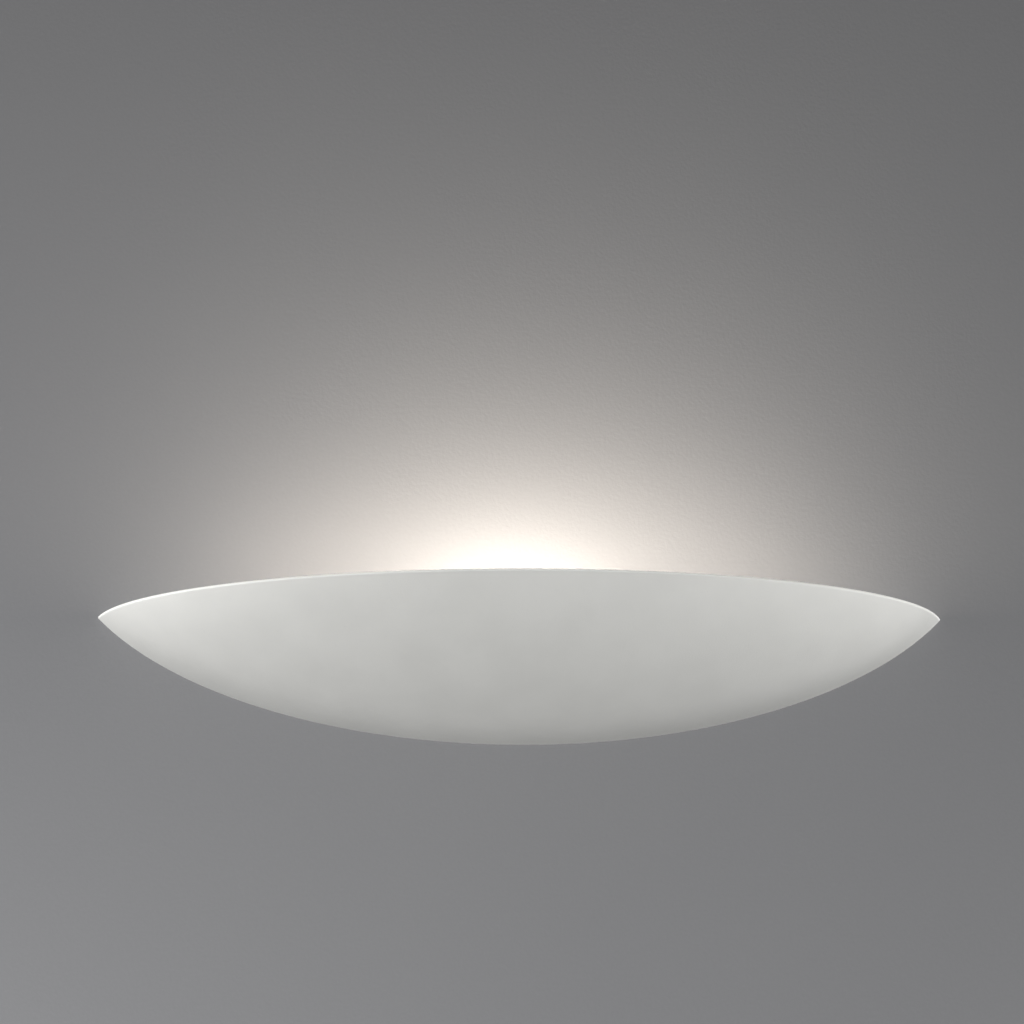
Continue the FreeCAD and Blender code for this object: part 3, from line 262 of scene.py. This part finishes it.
CERAMIC = bisque("fired_ceramic", (0.662, 0.66, 0.634), 520, (0.5, 0.68), 1500)
ZINC = plated("zinc_plated_steel", (0.56, 0.57, 0.585), (0.32, 0.5))
STUD = drawn("zinc_plated_thread", (0.5, 0.51, 0.525), (0.28, 0.46), (40, 1, 40), 60)
ALUMINIUM = drawn("rolled_aluminium", (0.83, 0.83, 0.84), (0.12, 0.32), (1, 60, 60), 60)
STEATITE = bisque("steatite", (0.79, 0.765, 0.69), 1500, (0.42, 0.6), 2600)
CAP = bisque("lamp_cap_ceramic", (0.83, 0.81, 0.76), 2300, (0.5, 0.7), 3000)
CONTACT = drawn("silvered_contact", (0.73, 0.69, 0.6), (0.18, 0.34), (60, 1, 1), 50)
BRASS = drawn("turned_brass", (0.72, 0.53, 0.25), (0.2, 0.36), (1, 50, 1), 60)
SPRING = drawn("spring_wire", (0.4, 0.41, 0.43), (0.2, 0.34), (1, 1, 1), 2500)
NYLON = moulded("natural_nylon", (0.79, 0.79, 0.74), (0.34, 0.5))
BUSHING = moulded("black_bushing", (0.012, 0.012, 0.013), (0.38, 0.6))
LIVE = braid("brown_sleeve", (0.12, 0.045, 0.02), (0.15, 0.06, 0.03), 0.5)
NEUTRAL = braid("blue_sleeve", (0.03, 0.085, 0.27), (0.04, 0.11, 0.33), 0.5)
EARTH = braid("green_yellow_sleeve", (0.06, 0.25, 0.035), (0.66, 0.52, 0.04), 0.62)


def mica_sheet():
    """Pressed mica: overlapping flakes with a pearly, cloudy tone."""
    paint = Paint("pressed_mica")
    flakes = paint.cells(900)
    tone = paint.spread(flakes.outputs["Distance"], 0, 1, start=0.05, end=0.5)
    paint.colour(tone, (0.5, 0.42, 0.29), (0.4, 0.33, 0.22))
    paint.rough(paint.noise(1500, detail=3), 0.22, 0.42)
    paint.bump(flakes.outputs["Distance"], distance=0.00005, strength=0.5)
    return paint.material


def lamp_glass():
    """Clear fused quartz, lit from inside, with a faint haze that drifts along the tube."""
    paint = Paint("fused_quartz", Transmission_Weight=1.0, IOR=1.458, Emission_Strength=0.04)
    haze = paint.noise(240, detail=3)
    paint.rough(haze, 0.01, 0.09)
    paint.colour(paint.spread(haze, 0, 1), (0.985, 0.985, 0.99), (0.95, 0.955, 0.965))
    glow = paint.mixed(paint.spread(haze, 0, 1), (1.0, 0.85, 0.62), (1.0, 0.9, 0.74))
    paint.link(glow, paint.shader.inputs["Emission Color"])
    paint.material.cycles.emission_sampling = "NONE"
    return paint.material


def tungsten(name, strength):
    """Drawn tungsten wire, glowing unevenly along its coil."""
    paint = Paint(name, Metallic=1.0, Emission_Strength=strength)
    grain = paint.noise(900, detail=3)
    paint.colour(paint.spread(grain, 0, 1), (0.2, 0.19, 0.18), (0.3, 0.29, 0.28))
    glow = paint.mixed(paint.spread(grain, 0, 1), (1.0, 0.72, 0.38), (1.0, 0.84, 0.56))
    paint.link(glow, paint.shader.inputs["Emission Color"])
    paint.rough(grain, 0.4, 0.6)
    paint.material.cycles.emission_sampling = "NONE"
    return paint.material


QUARTZ = lamp_glass()
FILAMENT = tungsten("glowing_tungsten", 2.5)
SUPPORTS = tungsten("hot_tungsten", 0.3)

for label, finish in {
    "wall_plate": ZINC, "stud_washers": ZINC, "lamp_carrier": ZINC, "carrier_screws": STUD,
    "knurled_nut_left": BRASS, "knurled_nut_right": BRASS, "cable_bushing": BUSHING,
    "lead_clips": NYLON, "reflector": ALUMINIUM, "reflector_rivets": ALUMINIUM,
    "lamp_tube": QUARTZ, "lamp_filament_supports": SUPPORTS, "lamp_cap_left": CAP,
    "lamp_cap_right": CAP, "lamp_contact_pins": CONTACT, "lampholder_left": STEATITE,
    "lampholder_right": STEATITE, "holder_screws": STUD, "insulator_discs": mica_sheet(),
    "contact_left": CONTACT, "contact_right": CONTACT, "contact_spring_left": SPRING,
    "contact_spring_right": SPRING, "terminal_block": NYLON, "terminal_inserts": BRASS,
    "terminal_screws": STUD, "terminal_fixing_screw": STUD, "earth_tag": BRASS,
    "earth_washer": ZINC, "earth_screw": BRASS, "lead_ferrules": CONTACT,
}.items():
    for index in range(len(nodes[label].data.materials)):
        nodes[label].data.materials[index] = finish


# ---------------------------------------------------------------- mesh helpers


def add_piece(name, data, stands_for, body="root"):
    made = bpy.data.objects.new(name, data)
    scene.collection.objects.link(made)
    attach(made, body)
    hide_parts(*stands_for)


def tube(rows):
    """The points and faces of a tube over closed rings of points, capped at both ends."""
    count = len(rows[0])
    points = [tuple(point) for row in rows for point in row]
    faces = []
    for level in range(len(rows) - 1):
        low = level * count
        for step in range(count):
            after = (step + 1) % count
            faces.append((low + step, low + after, low + count + after, low + count + step))
    faces.append(tuple(reversed(range(count))))
    faces.append(tuple(range(len(points) - count, len(points))))
    return points, faces


def smooth_mesh(name, points, faces):
    mesh = bpy.data.meshes.new(name)
    mesh.from_pydata(points, [], faces)
    mesh.polygons.foreach_set("use_smooth", [True] * len(mesh.polygons))
    mesh.update()
    return mesh


def lay_route(mesh, count, lengths):
    """Map a tube with count points to a ring: u runs along it and v once around it."""
    layer = mesh.uv_layers.new(name="route")
    for polygon in mesh.polygons:
        corners = [mesh.loops[index].vertex_index for index in polygon.loop_indices]
        steps = [corner % count for corner in corners]
        wraps = max(steps) - min(steps) > 1
        for index, corner, step in zip(polygon.loop_indices, corners, steps):
            turn = 1.0 if wraps and step == 0 else step / count
            layer.data[index].uv = (lengths[corner // count], turn)


# ---------------------------------------------------------------- ceramic bowl

# Millimetres, as in the part's source. The hull is an ellipsoid whose centre lies
# DEPTH_CENTRE behind the wall and RISE above the rim.
RIM, LIP, WALL, DEPTH_CENTRE, RISE = 40.0, 1.5, 7.0, 28.0, 60.0
WIDTH, HEIGHT, PROJECTION = 604.0, 93.0, 146.0

# The shading turns toward the wall by up to TURN over the last TURN_IN millimetres.
TURN_IN, TURN = 48.0, 0.22

# Below this cosine between a face's own normal and the curved skin's, the face is a flat one.
CURVED_COSINE = 0.8


def hull_axes():
    """Half axes of the ellipsoid that meets the rim's tips, the front and the lowest point."""
    front = (PROJECTION + DEPTH_CENTRE) ** 2
    low = (HEIGHT + RISE) ** 2
    total = front * low - RISE ** 2 * DEPTH_CENTRE ** 2
    across_depth = (low - RISE ** 2) / total
    across_height = (front - DEPTH_CENTRE ** 2) / total
    left_over = 1 - DEPTH_CENTRE ** 2 * across_depth - RISE ** 2 * across_height
    across_width = left_over / (WIDTH / 2) ** 2
    return 1 / np.sqrt([across_width, across_depth, across_height])


def true_normals(points, faceted):
    """The normals of the curved skin at each point; flat faces keep their own."""
    outer = hull_axes()
    from_centre = points - np.array([0, DEPTH_CENTRE, RIM + RISE])
    gradient = from_centre / outer ** 2
    level = np.sqrt(((from_centre / outer) ** 2).sum(1))
    inside = level < 1 - WALL / 2 / outer[2]
    inner = outer - WALL
    gradient[inside] = -(from_centre / inner ** 2)[inside]
    found = gradient / np.linalg.norm(gradient, axis=1)[:, None]
    rise = (points[:, 2] - (RIM - LIP)) / LIP
    on_lip = rise > found[:, 2]
    rise = np.clip(rise, -1, 1)
    flat = gradient[:, :2] / np.linalg.norm(gradient[:, :2], axis=1)[:, None]
    rounded = np.column_stack([flat * np.sqrt(1 - rise ** 2)[:, None], rise])
    found[on_lip] = rounded[on_lip]
    nearness = np.clip(1 + points[:, 1] / TURN_IN, 0, 1)
    turned = found + np.outer(nearness ** 2 * (3 - 2 * nearness) * TURN, (0, 1, 0))
    turned /= np.linalg.norm(turned, axis=1)[:, None]
    under = ~inside & ~on_lip
    found[under] = turned[under]
    keep = (found * faceted).sum(1) < CURVED_COSINE
    found[keep] = faceted[keep]
    return found


def make_bowl():
    """The same skin as the solid, with the hull's true curvature in its shading."""
    mesh = nodes["ceramic_body"].data.copy()
    mesh.name = "bowl_shell"
    corners = np.zeros(len(mesh.loops), int)
    mesh.loops.foreach_get("vertex_index", corners)
    points = np.zeros(len(mesh.vertices) * 3)
    mesh.vertices.foreach_get("co", points)
    faceted = np.zeros(len(mesh.loops) * 3)
    mesh.corner_normals.foreach_get("vector", faceted)
    places = points.reshape(-1, 3)[corners] / MM
    mesh.normals_split_custom_set(true_normals(places, faceted.reshape(-1, 3)).tolist())
    mesh.materials.clear()
    mesh.materials.append(CERAMIC)
    add_piece("bowl_shell", mesh, ["ceramic_body"])


# ---------------------------------------------------------------- studs, filament and leads

# The studs' thread, the plain end in the plate and the chamfered tip. The thread runs out
# over RUN_OUT_TURNS at both its ends. As CREST grows, the crest gets sharper.
THREAD_PITCH, THREAD_DEPTH, PLAIN_END, TIP_CHAMFER = 1.0 * MM, 0.5 * MM, 2.4 * MM, 0.5 * MM
THREAD_SIDES, RINGS_PER_TURN = 32, 8
RUN_OUT_TURNS, TIP_TURNS, CREST = 1.5, 0.8, 1.4


def make_studs():
    """Two threaded studs, pressed into the plate, their threads cut as a true spiral."""
    low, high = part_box("ceramic_studs")
    radius = (high.z - low.z) / 2
    turns = (high.y - low.y - PLAIN_END) / THREAD_PITCH
    angles = [2 * math.pi * step / THREAD_SIDES for step in range(THREAD_SIDES)]
    rows = []
    for level in range(int(turns * RINGS_PER_TURN) + 1):
        along = level / RINGS_PER_TURN
        fade = min(1.0, along / RUN_OUT_TURNS, (turns - along) / RUN_OUT_TURNS)
        chamfer = TIP_CHAMFER * max(0.0, 1 - along / TIP_TURNS)
        ring = []
        for step, angle in enumerate(angles):
            phase = (along + step / THREAD_SIDES) % 1
            groove = THREAD_DEPTH * fade * (1 - abs(2 * phase - 1) ** CREST)
            reach = radius - groove - chamfer
            height = low.y + along * THREAD_PITCH
            ring.append((reach * math.cos(angle), height, reach * math.sin(angle)))
        rows.append(ring)
    rows.append([(radius * math.cos(angle), high.y, radius * math.sin(angle)) for angle in angles])
    offset = (high.x - low.x) / 2 - radius
    points, faces = [], []
    for side in (-1, 1):
        stud_points, stud_faces = tube(
            [[(x + side * offset, y, z) for x, y, z in ring] for ring in rows])
        shift = len(points)
        points += stud_points
        faces += [tuple(shift + index for index in face) for face in stud_faces]
    mesh = smooth_mesh("threaded_studs", points, faces)
    mesh.materials.append(STUD)
    add_piece("threaded_studs", mesh, ["ceramic_studs"])


FILAMENT_WIRE, FILAMENT_PITCH, FILAMENT_STEPS = 0.11 * MM, 0.52 * MM, 12


def make_filament():
    """A close coil of tungsten wire that runs the length of the lamp."""
    low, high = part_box("lamp_filament")
    radius = (high.z - low.z) / 2 - FILAMENT_WIRE
    centre = (low + high) / 2
    length = high.x - low.x - 2 * FILAMENT_WIRE
    count = int(length / FILAMENT_PITCH * FILAMENT_STEPS)
    curve = bpy.data.curves.new("filament_coil", "CURVE")
    curve.dimensions = "3D"
    curve.bevel_depth = FILAMENT_WIRE
    curve.bevel_resolution = 1
    curve.use_fill_caps = True
    line = curve.splines.new("POLY")
    line.points.add(count)
    for index, point in enumerate(line.points):
        angle = 2 * math.pi * index / FILAMENT_STEPS
        x = low.x + FILAMENT_WIRE + length * index / count
        point.co = (x, centre.y + radius * math.cos(angle), centre.z + radius * math.sin(angle), 1)
    curve.materials.append(FILAMENT)
    add_piece("filament_coil", curve, ["lamp_filament"], "lamp")


def route_line(name, points):
    """Points along the smooth line of a lead's route."""
    curve = bpy.data.curves.new(name, "CURVE")
    curve.dimensions = "3D"
    curve.resolution_u = 24
    line = curve.splines.new("NURBS")
    line.points.add(len(points) - 1)
    for target, point in zip(line.points, points):
        target.co = (*mm(*point), 1)
    line.order_u = 3
    line.use_endpoint_u = True
    holder = bpy.data.objects.new(name, curve)
    mesh = bpy.data.meshes.new_from_object(holder)
    found = [vertex.co.copy() for vertex in mesh.vertices]
    bpy.data.objects.remove(holder)
    bpy.data.meshes.remove(mesh)
    return found


LEAD_DIAMETER, LEAD_SIDES = 2.2, 20


def make_lead(name, node, finish, points):
    """A sleeved lead: a tube that follows its route, with the braid laid along it."""
    line = route_line(name + "_line", points)
    radius = LEAD_DIAMETER / 2 * MM
    angles = [2 * math.pi * step / LEAD_SIDES for step in range(LEAD_SIDES)]
    across = Vector((0, 0, 1))
    rows, lengths, total = [], [], 0.0
    for index, point in enumerate(line):
        before, after = line[max(index - 1, 0)], line[min(index + 1, len(line) - 1)]
        along = (after - before).normalized()
        across = (across - along * across.dot(along)).normalized()
        side = along.cross(across)
        total += (point - before).length
        lengths.append(total / (2 * math.pi * radius))
        rows.append([point + radius * (math.cos(angle) * across + math.sin(angle) * side)
                     for angle in angles])
    mesh = smooth_mesh(name, *tube(rows))
    lay_route(mesh, LEAD_SIDES, lengths)
    mesh.materials.append(finish)
    add_piece(name, mesh, [node])


make_bowl()
make_studs()
make_filament()
make_lead("live_sleeve", "live_lead", LIVE, [
    (-73, -55.5, 14), (-73, -40, 14), (-79, -29, 19), (-89, -20, 27), (-103, -15, 31),
    (-113, -9, 27), (-113, -8, 18), (-113, -8, 9)])
make_lead("neutral_sleeve", "neutral_lead", NEUTRAL, [
    (73, -55.5, 14), (73, -40, 14), (69, -28, 14), (59, -14, 13.2), (44, -5.2, 12.6),
    (-44, -5.2, 12.6), (-58, -8, 14), (-74, -13, 20), (-88, -14.5, 26), (-100, -11.5, 25),
    (-105, -8, 18), (-105, -8, 9)])
make_lead("earth_sleeve", "earth_lead", EARTH, [
    (-79, -3.95, 7.5), (-79, -3.95, 18), (-84, -4.95, 23), (-92, -7, 23), (-97, -8, 18),
    (-97, -8, 9)])


# ---------------------------------------------------------------- wall, floor and world


def plane(name, corners, material):
    mesh = bpy.data.meshes.new(name)
    mesh.from_pydata(corners, [], [(0, 1, 2, 3)])
    mesh.materials.append(material)
    made = bpy.data.objects.new(name, mesh)
    scene.collection.objects.link(made)
    return made


def wall_paint():
    """Grey emulsion on smooth plaster; seen from behind it isn't there."""
    paint = Paint("grey_wall", Specular_IOR_Level=0.3)
    clouds = paint.spread(paint.noise(2.3, detail=5), 0, 1)
    paint.colour(clouds, (0.191, 0.191, 0.194), (0.2, 0.2, 0.201))
    roller = paint.noise(420, detail=4)
    paint.rough(roller, 0.75, 0.9)
    paint.bump(roller, distance=0.0003, strength=0.35)
    clear = paint.node("ShaderNodeBsdfTransparent").outputs["BSDF"]
    behind = paint.node("ShaderNodeNewGeometry").outputs["Backfacing"]
    either = paint.node("ShaderNodeMixShader")
    paint.link(behind, either.inputs[0])
    paint.link(paint.shader.outputs["BSDF"], either.inputs[1])
    paint.link(clear, either.inputs[2])
    paint.link(either.outputs["Shader"], paint.tree.nodes["Material Output"].inputs["Surface"])
    return paint.material


def seen_directly(tree):
    """1 for rays from the camera and for what glass and metal show, otherwise 0."""
    rays = tree.nodes.new("ShaderNodeLightPath")
    found = rays.outputs["Is Camera Ray"]
    for kind in ("Is Glossy Ray", "Is Transmission Ray"):
        either = tree.nodes.new("ShaderNodeMath")
        either.operation = "MAXIMUM"
        tree.links.new(found, either.inputs[0])
        tree.links.new(rays.outputs[kind], either.inputs[1])
        found = either.outputs["Value"]
    return found


def floor_paint():
    """A pale, plain floor far below, dark to the light that would bounce off it onto the object."""
    paint = Paint("pale_floor")
    clouds = paint.spread(paint.noise(1.7, detail=4), 0, 1)
    tone = paint.mixed(clouds, (0.56, 0.56, 0.555), (0.6, 0.6, 0.595))
    paint.colour(seen_directly(paint.tree), (0.09, 0.09, 0.09), tone)
    paint.rough(paint.noise(60, detail=3), 0.6, 0.8)
    return paint.material


# Metres. The wall's face lies a hair behind the object's back, so that the two don't meet.
WALL_FACE, WALL_REACH, WALL_TOP = 0.0004, 9, 6
FLOOR_LEVEL, FLOOR_REACH = -1.8, 60
wall = plane("backdrop_wall", [
    (-WALL_REACH, WALL_FACE, FLOOR_LEVEL), (WALL_REACH, WALL_FACE, FLOOR_LEVEL),
    (WALL_REACH, WALL_FACE, WALL_TOP), (-WALL_REACH, WALL_FACE, WALL_TOP)], wall_paint())
floor = plane("pale_floor", [
    (-FLOOR_REACH, -FLOOR_REACH, FLOOR_LEVEL), (FLOOR_REACH, -FLOOR_REACH, FLOOR_LEVEL),
    (FLOOR_REACH, FLOOR_REACH, FLOOR_LEVEL), (-FLOOR_REACH, FLOOR_REACH, FLOOR_LEVEL)],
    floor_paint())

world = bpy.data.worlds.new("room")
world.use_nodes = True
scene.world = world
sky = world.node_tree
room_light = sky.nodes["Background"]
room_light.inputs["Color"].default_value = (0.93, 0.96, 1.0, 1)
room_light.inputs["Strength"].default_value = 0.05
seen = sky.nodes.new("ShaderNodeBackground")
seen.inputs["Color"].default_value = (0.72, 0.73, 0.74, 1)
seen.inputs["Strength"].default_value = 1.0
chosen = sky.nodes.new("ShaderNodeMixShader")
sky.links.new(seen_directly(sky), chosen.inputs[0])
sky.links.new(room_light.outputs[0], chosen.inputs[1])
sky.links.new(seen.outputs[0], chosen.inputs[2])
sky.links.new(chosen.outputs[0], sky.nodes["World Output"].inputs["Surface"])


# ---------------------------------------------------------------- lights

LAMP_PIECES = ["lamp_tube", "filament_coil", "lamp_filament_supports", "lamp_cap_left",
               "lamp_cap_right", "lamp_contact_pins"]
pieces = [thing for thing in scene.objects if body_of(thing) and thing.type in ("MESH", "CURVE")
          and not thing.hide_render]


def group(name, members):
    made = bpy.data.collections.new(name)
    for member in members:
        made.objects.link(member)
    return made


ON_WALL = group("lit_wall", [wall])
ON_PIECES = group("lit_pieces", pieces)
NEAR_LAMP = group("around_lamp", [thing for thing in pieces if thing.name not in LAMP_PIECES])

WHITE = (1, 1, 1)
WARM = (1.0, 0.9, 0.79)
COOL = (0.975, 0.98, 1.0)
MIDDLE = (0, 0, 0)
LAMP_OUT, LAMP_UP, GLOW_RADIUS = -60, 14, 0.004


def softbox(name, place, aim, size, power, receivers, colour=WHITE, blockers=None):
    lamp = bpy.data.lights.new(name, "AREA")
    lamp.shape = "RECTANGLE"
    lamp.size, lamp.size_y = size
    lamp.energy = power
    lamp.color = colour
    made = bpy.data.objects.new(name, lamp)
    made.location = place
    made.rotation_euler = (Vector(aim) - Vector(place)).to_track_quat("-Z", "Y").to_euler()
    made.visible_camera = False
    made.light_linking.receiver_collection = receivers
    if blockers is not None:
        made.light_linking.blocker_collection = blockers
    scene.collection.objects.link(made)
    return made


def glow(name, x, power, receivers):
    """A small warm light on the lamp's axis; the lamp's own pieces neither catch nor shade it."""
    lamp = bpy.data.lights.new(name, "POINT")
    lamp.energy = power
    lamp.color = WARM
    lamp.shadow_soft_size = GLOW_RADIUS
    made = bpy.data.objects.new(name, lamp)
    made.location = mm(x, LAMP_OUT, LAMP_UP)
    made.visible_camera = False
    made.light_linking.receiver_collection = receivers
    made.light_linking.blocker_collection = NEAR_LAMP
    scene.collection.objects.link(made)


# The floor has a sun of its own, at which its colour shows as written, with the object's shadow.
floor_sun = bpy.data.lights.new("floor_sun", "SUN")
floor_sun.energy = math.pi
floor_sun.angle = 0.1
sun = bpy.data.objects.new("floor_sun", floor_sun)
sun.rotation_euler = Vector((0.15, 0.3, -1)).to_track_quat("-Z", "Y").to_euler()
sun.light_linking.receiver_collection = group("lit_floor", [floor])
sun.light_linking.blocker_collection = ON_PIECES
scene.collection.objects.link(sun)

softbox("left_side", (-2.7, -0.7, 0.1), MIDDLE, (1.2, 1.6), 48, ON_PIECES)
softbox("left_upper", (-2.6, -0.9, 0.8), MIDDLE, (1.2, 1.4), 7, ON_PIECES)
softbox("left_high", (-2.4, -0.6, 1.4), MIDDLE, (1.2, 1.2), 63, ON_PIECES)
softbox("right_side", (2.7, -0.7, 0.1), MIDDLE, (1.2, 1.6), 18, ON_PIECES)
softbox("right_upper", (2.6, -0.9, 0.8), MIDDLE, (1.2, 1.4), 56, ON_PIECES)
softbox("front_low", (0, -3.4, -1.0), MIDDLE, (1.6, 1.6), 3, ON_PIECES)
softbox("underneath", (0, -1.6, -1.4), MIDDLE, (1.6, 0.8), 18.4, ON_PIECES)
softbox("rear", (0.9, 2.4, 0.9), MIDDLE, (1.6, 1.6), 46, ON_PIECES, blockers=ON_PIECES)
softbox("left_wash", (-1.3, -1.3, -1.2), (-0.7, 0, -0.3), (0.8, 0.8), 54,
        ON_WALL, COOL, ON_WALL)
softbox("right_low_wash", (1.9, -0.9, -1.4), (1.1, 0, -0.5), (0.8, 0.8), 39,
        ON_WALL, COOL, ON_WALL)

# The lamp lights the wall straight, and the bowl's white inside sends the rest up. The
# areas lie at different heights, because a ray counts only one of several in one plane.
for name, place, size, power in (
        ("wide_bounce", (0, -0.055, 0.035), (0.58, 0.12), 0.28),
        ("lip_bounce", (0, -0.075, 0.0365), (0.42, 0.06), 0.72),
        ("front_bounce", (0, -0.11, 0.038), (0.3, 0.03), 0.07)):
    above = (place[0], place[1], 1)
    softbox(name, place, above, size, power, ON_WALL, WARM).data.shape = "ELLIPSE"
for index, x in enumerate((-26, -6, 14)):
    glow(f"wall_glow_{index}", x, 0.51, ON_WALL)
for index, x in enumerate((-32, 0, 32)):
    glow(f"bowl_glow_{index}", x, 0.02, NEAR_LAMP)


# ---------------------------------------------------------------- camera

# Fitted to the photograph's outline, at an assumed distance.
TARGET = mm(-5.8, 0, 117)
DISTANCE = 3.0
ROUND, DOWN, ROLL = math.radians(3.0), math.radians(14.6), math.radians(0.52)
FOCAL_PIXELS, FRAME_PIXELS = 4185, 1024
SENSOR = 36.0
FARTHEST = 200
camera_data = bpy.data.cameras.new("view")
camera_data.sensor_width = SENSOR
camera_data.lens = FOCAL_PIXELS / FRAME_PIXELS * SENSOR
camera_data.clip_end = FARTHEST
camera = bpy.data.objects.new("view", camera_data)
scene.collection.objects.link(camera)
toward = Vector((
    math.sin(ROUND) * math.cos(DOWN), math.cos(ROUND) * math.cos(DOWN), math.sin(DOWN)))
camera.location = TARGET - toward * DISTANCE
camera.rotation_mode = "QUATERNION"
camera.rotation_quaternion = Quaternion(toward, ROLL) @ toward.to_track_quat("-Z", "Y")
scene.camera = camera
scene.view_settings.view_transform = "Standard"

bpy.context.view_layer.update()
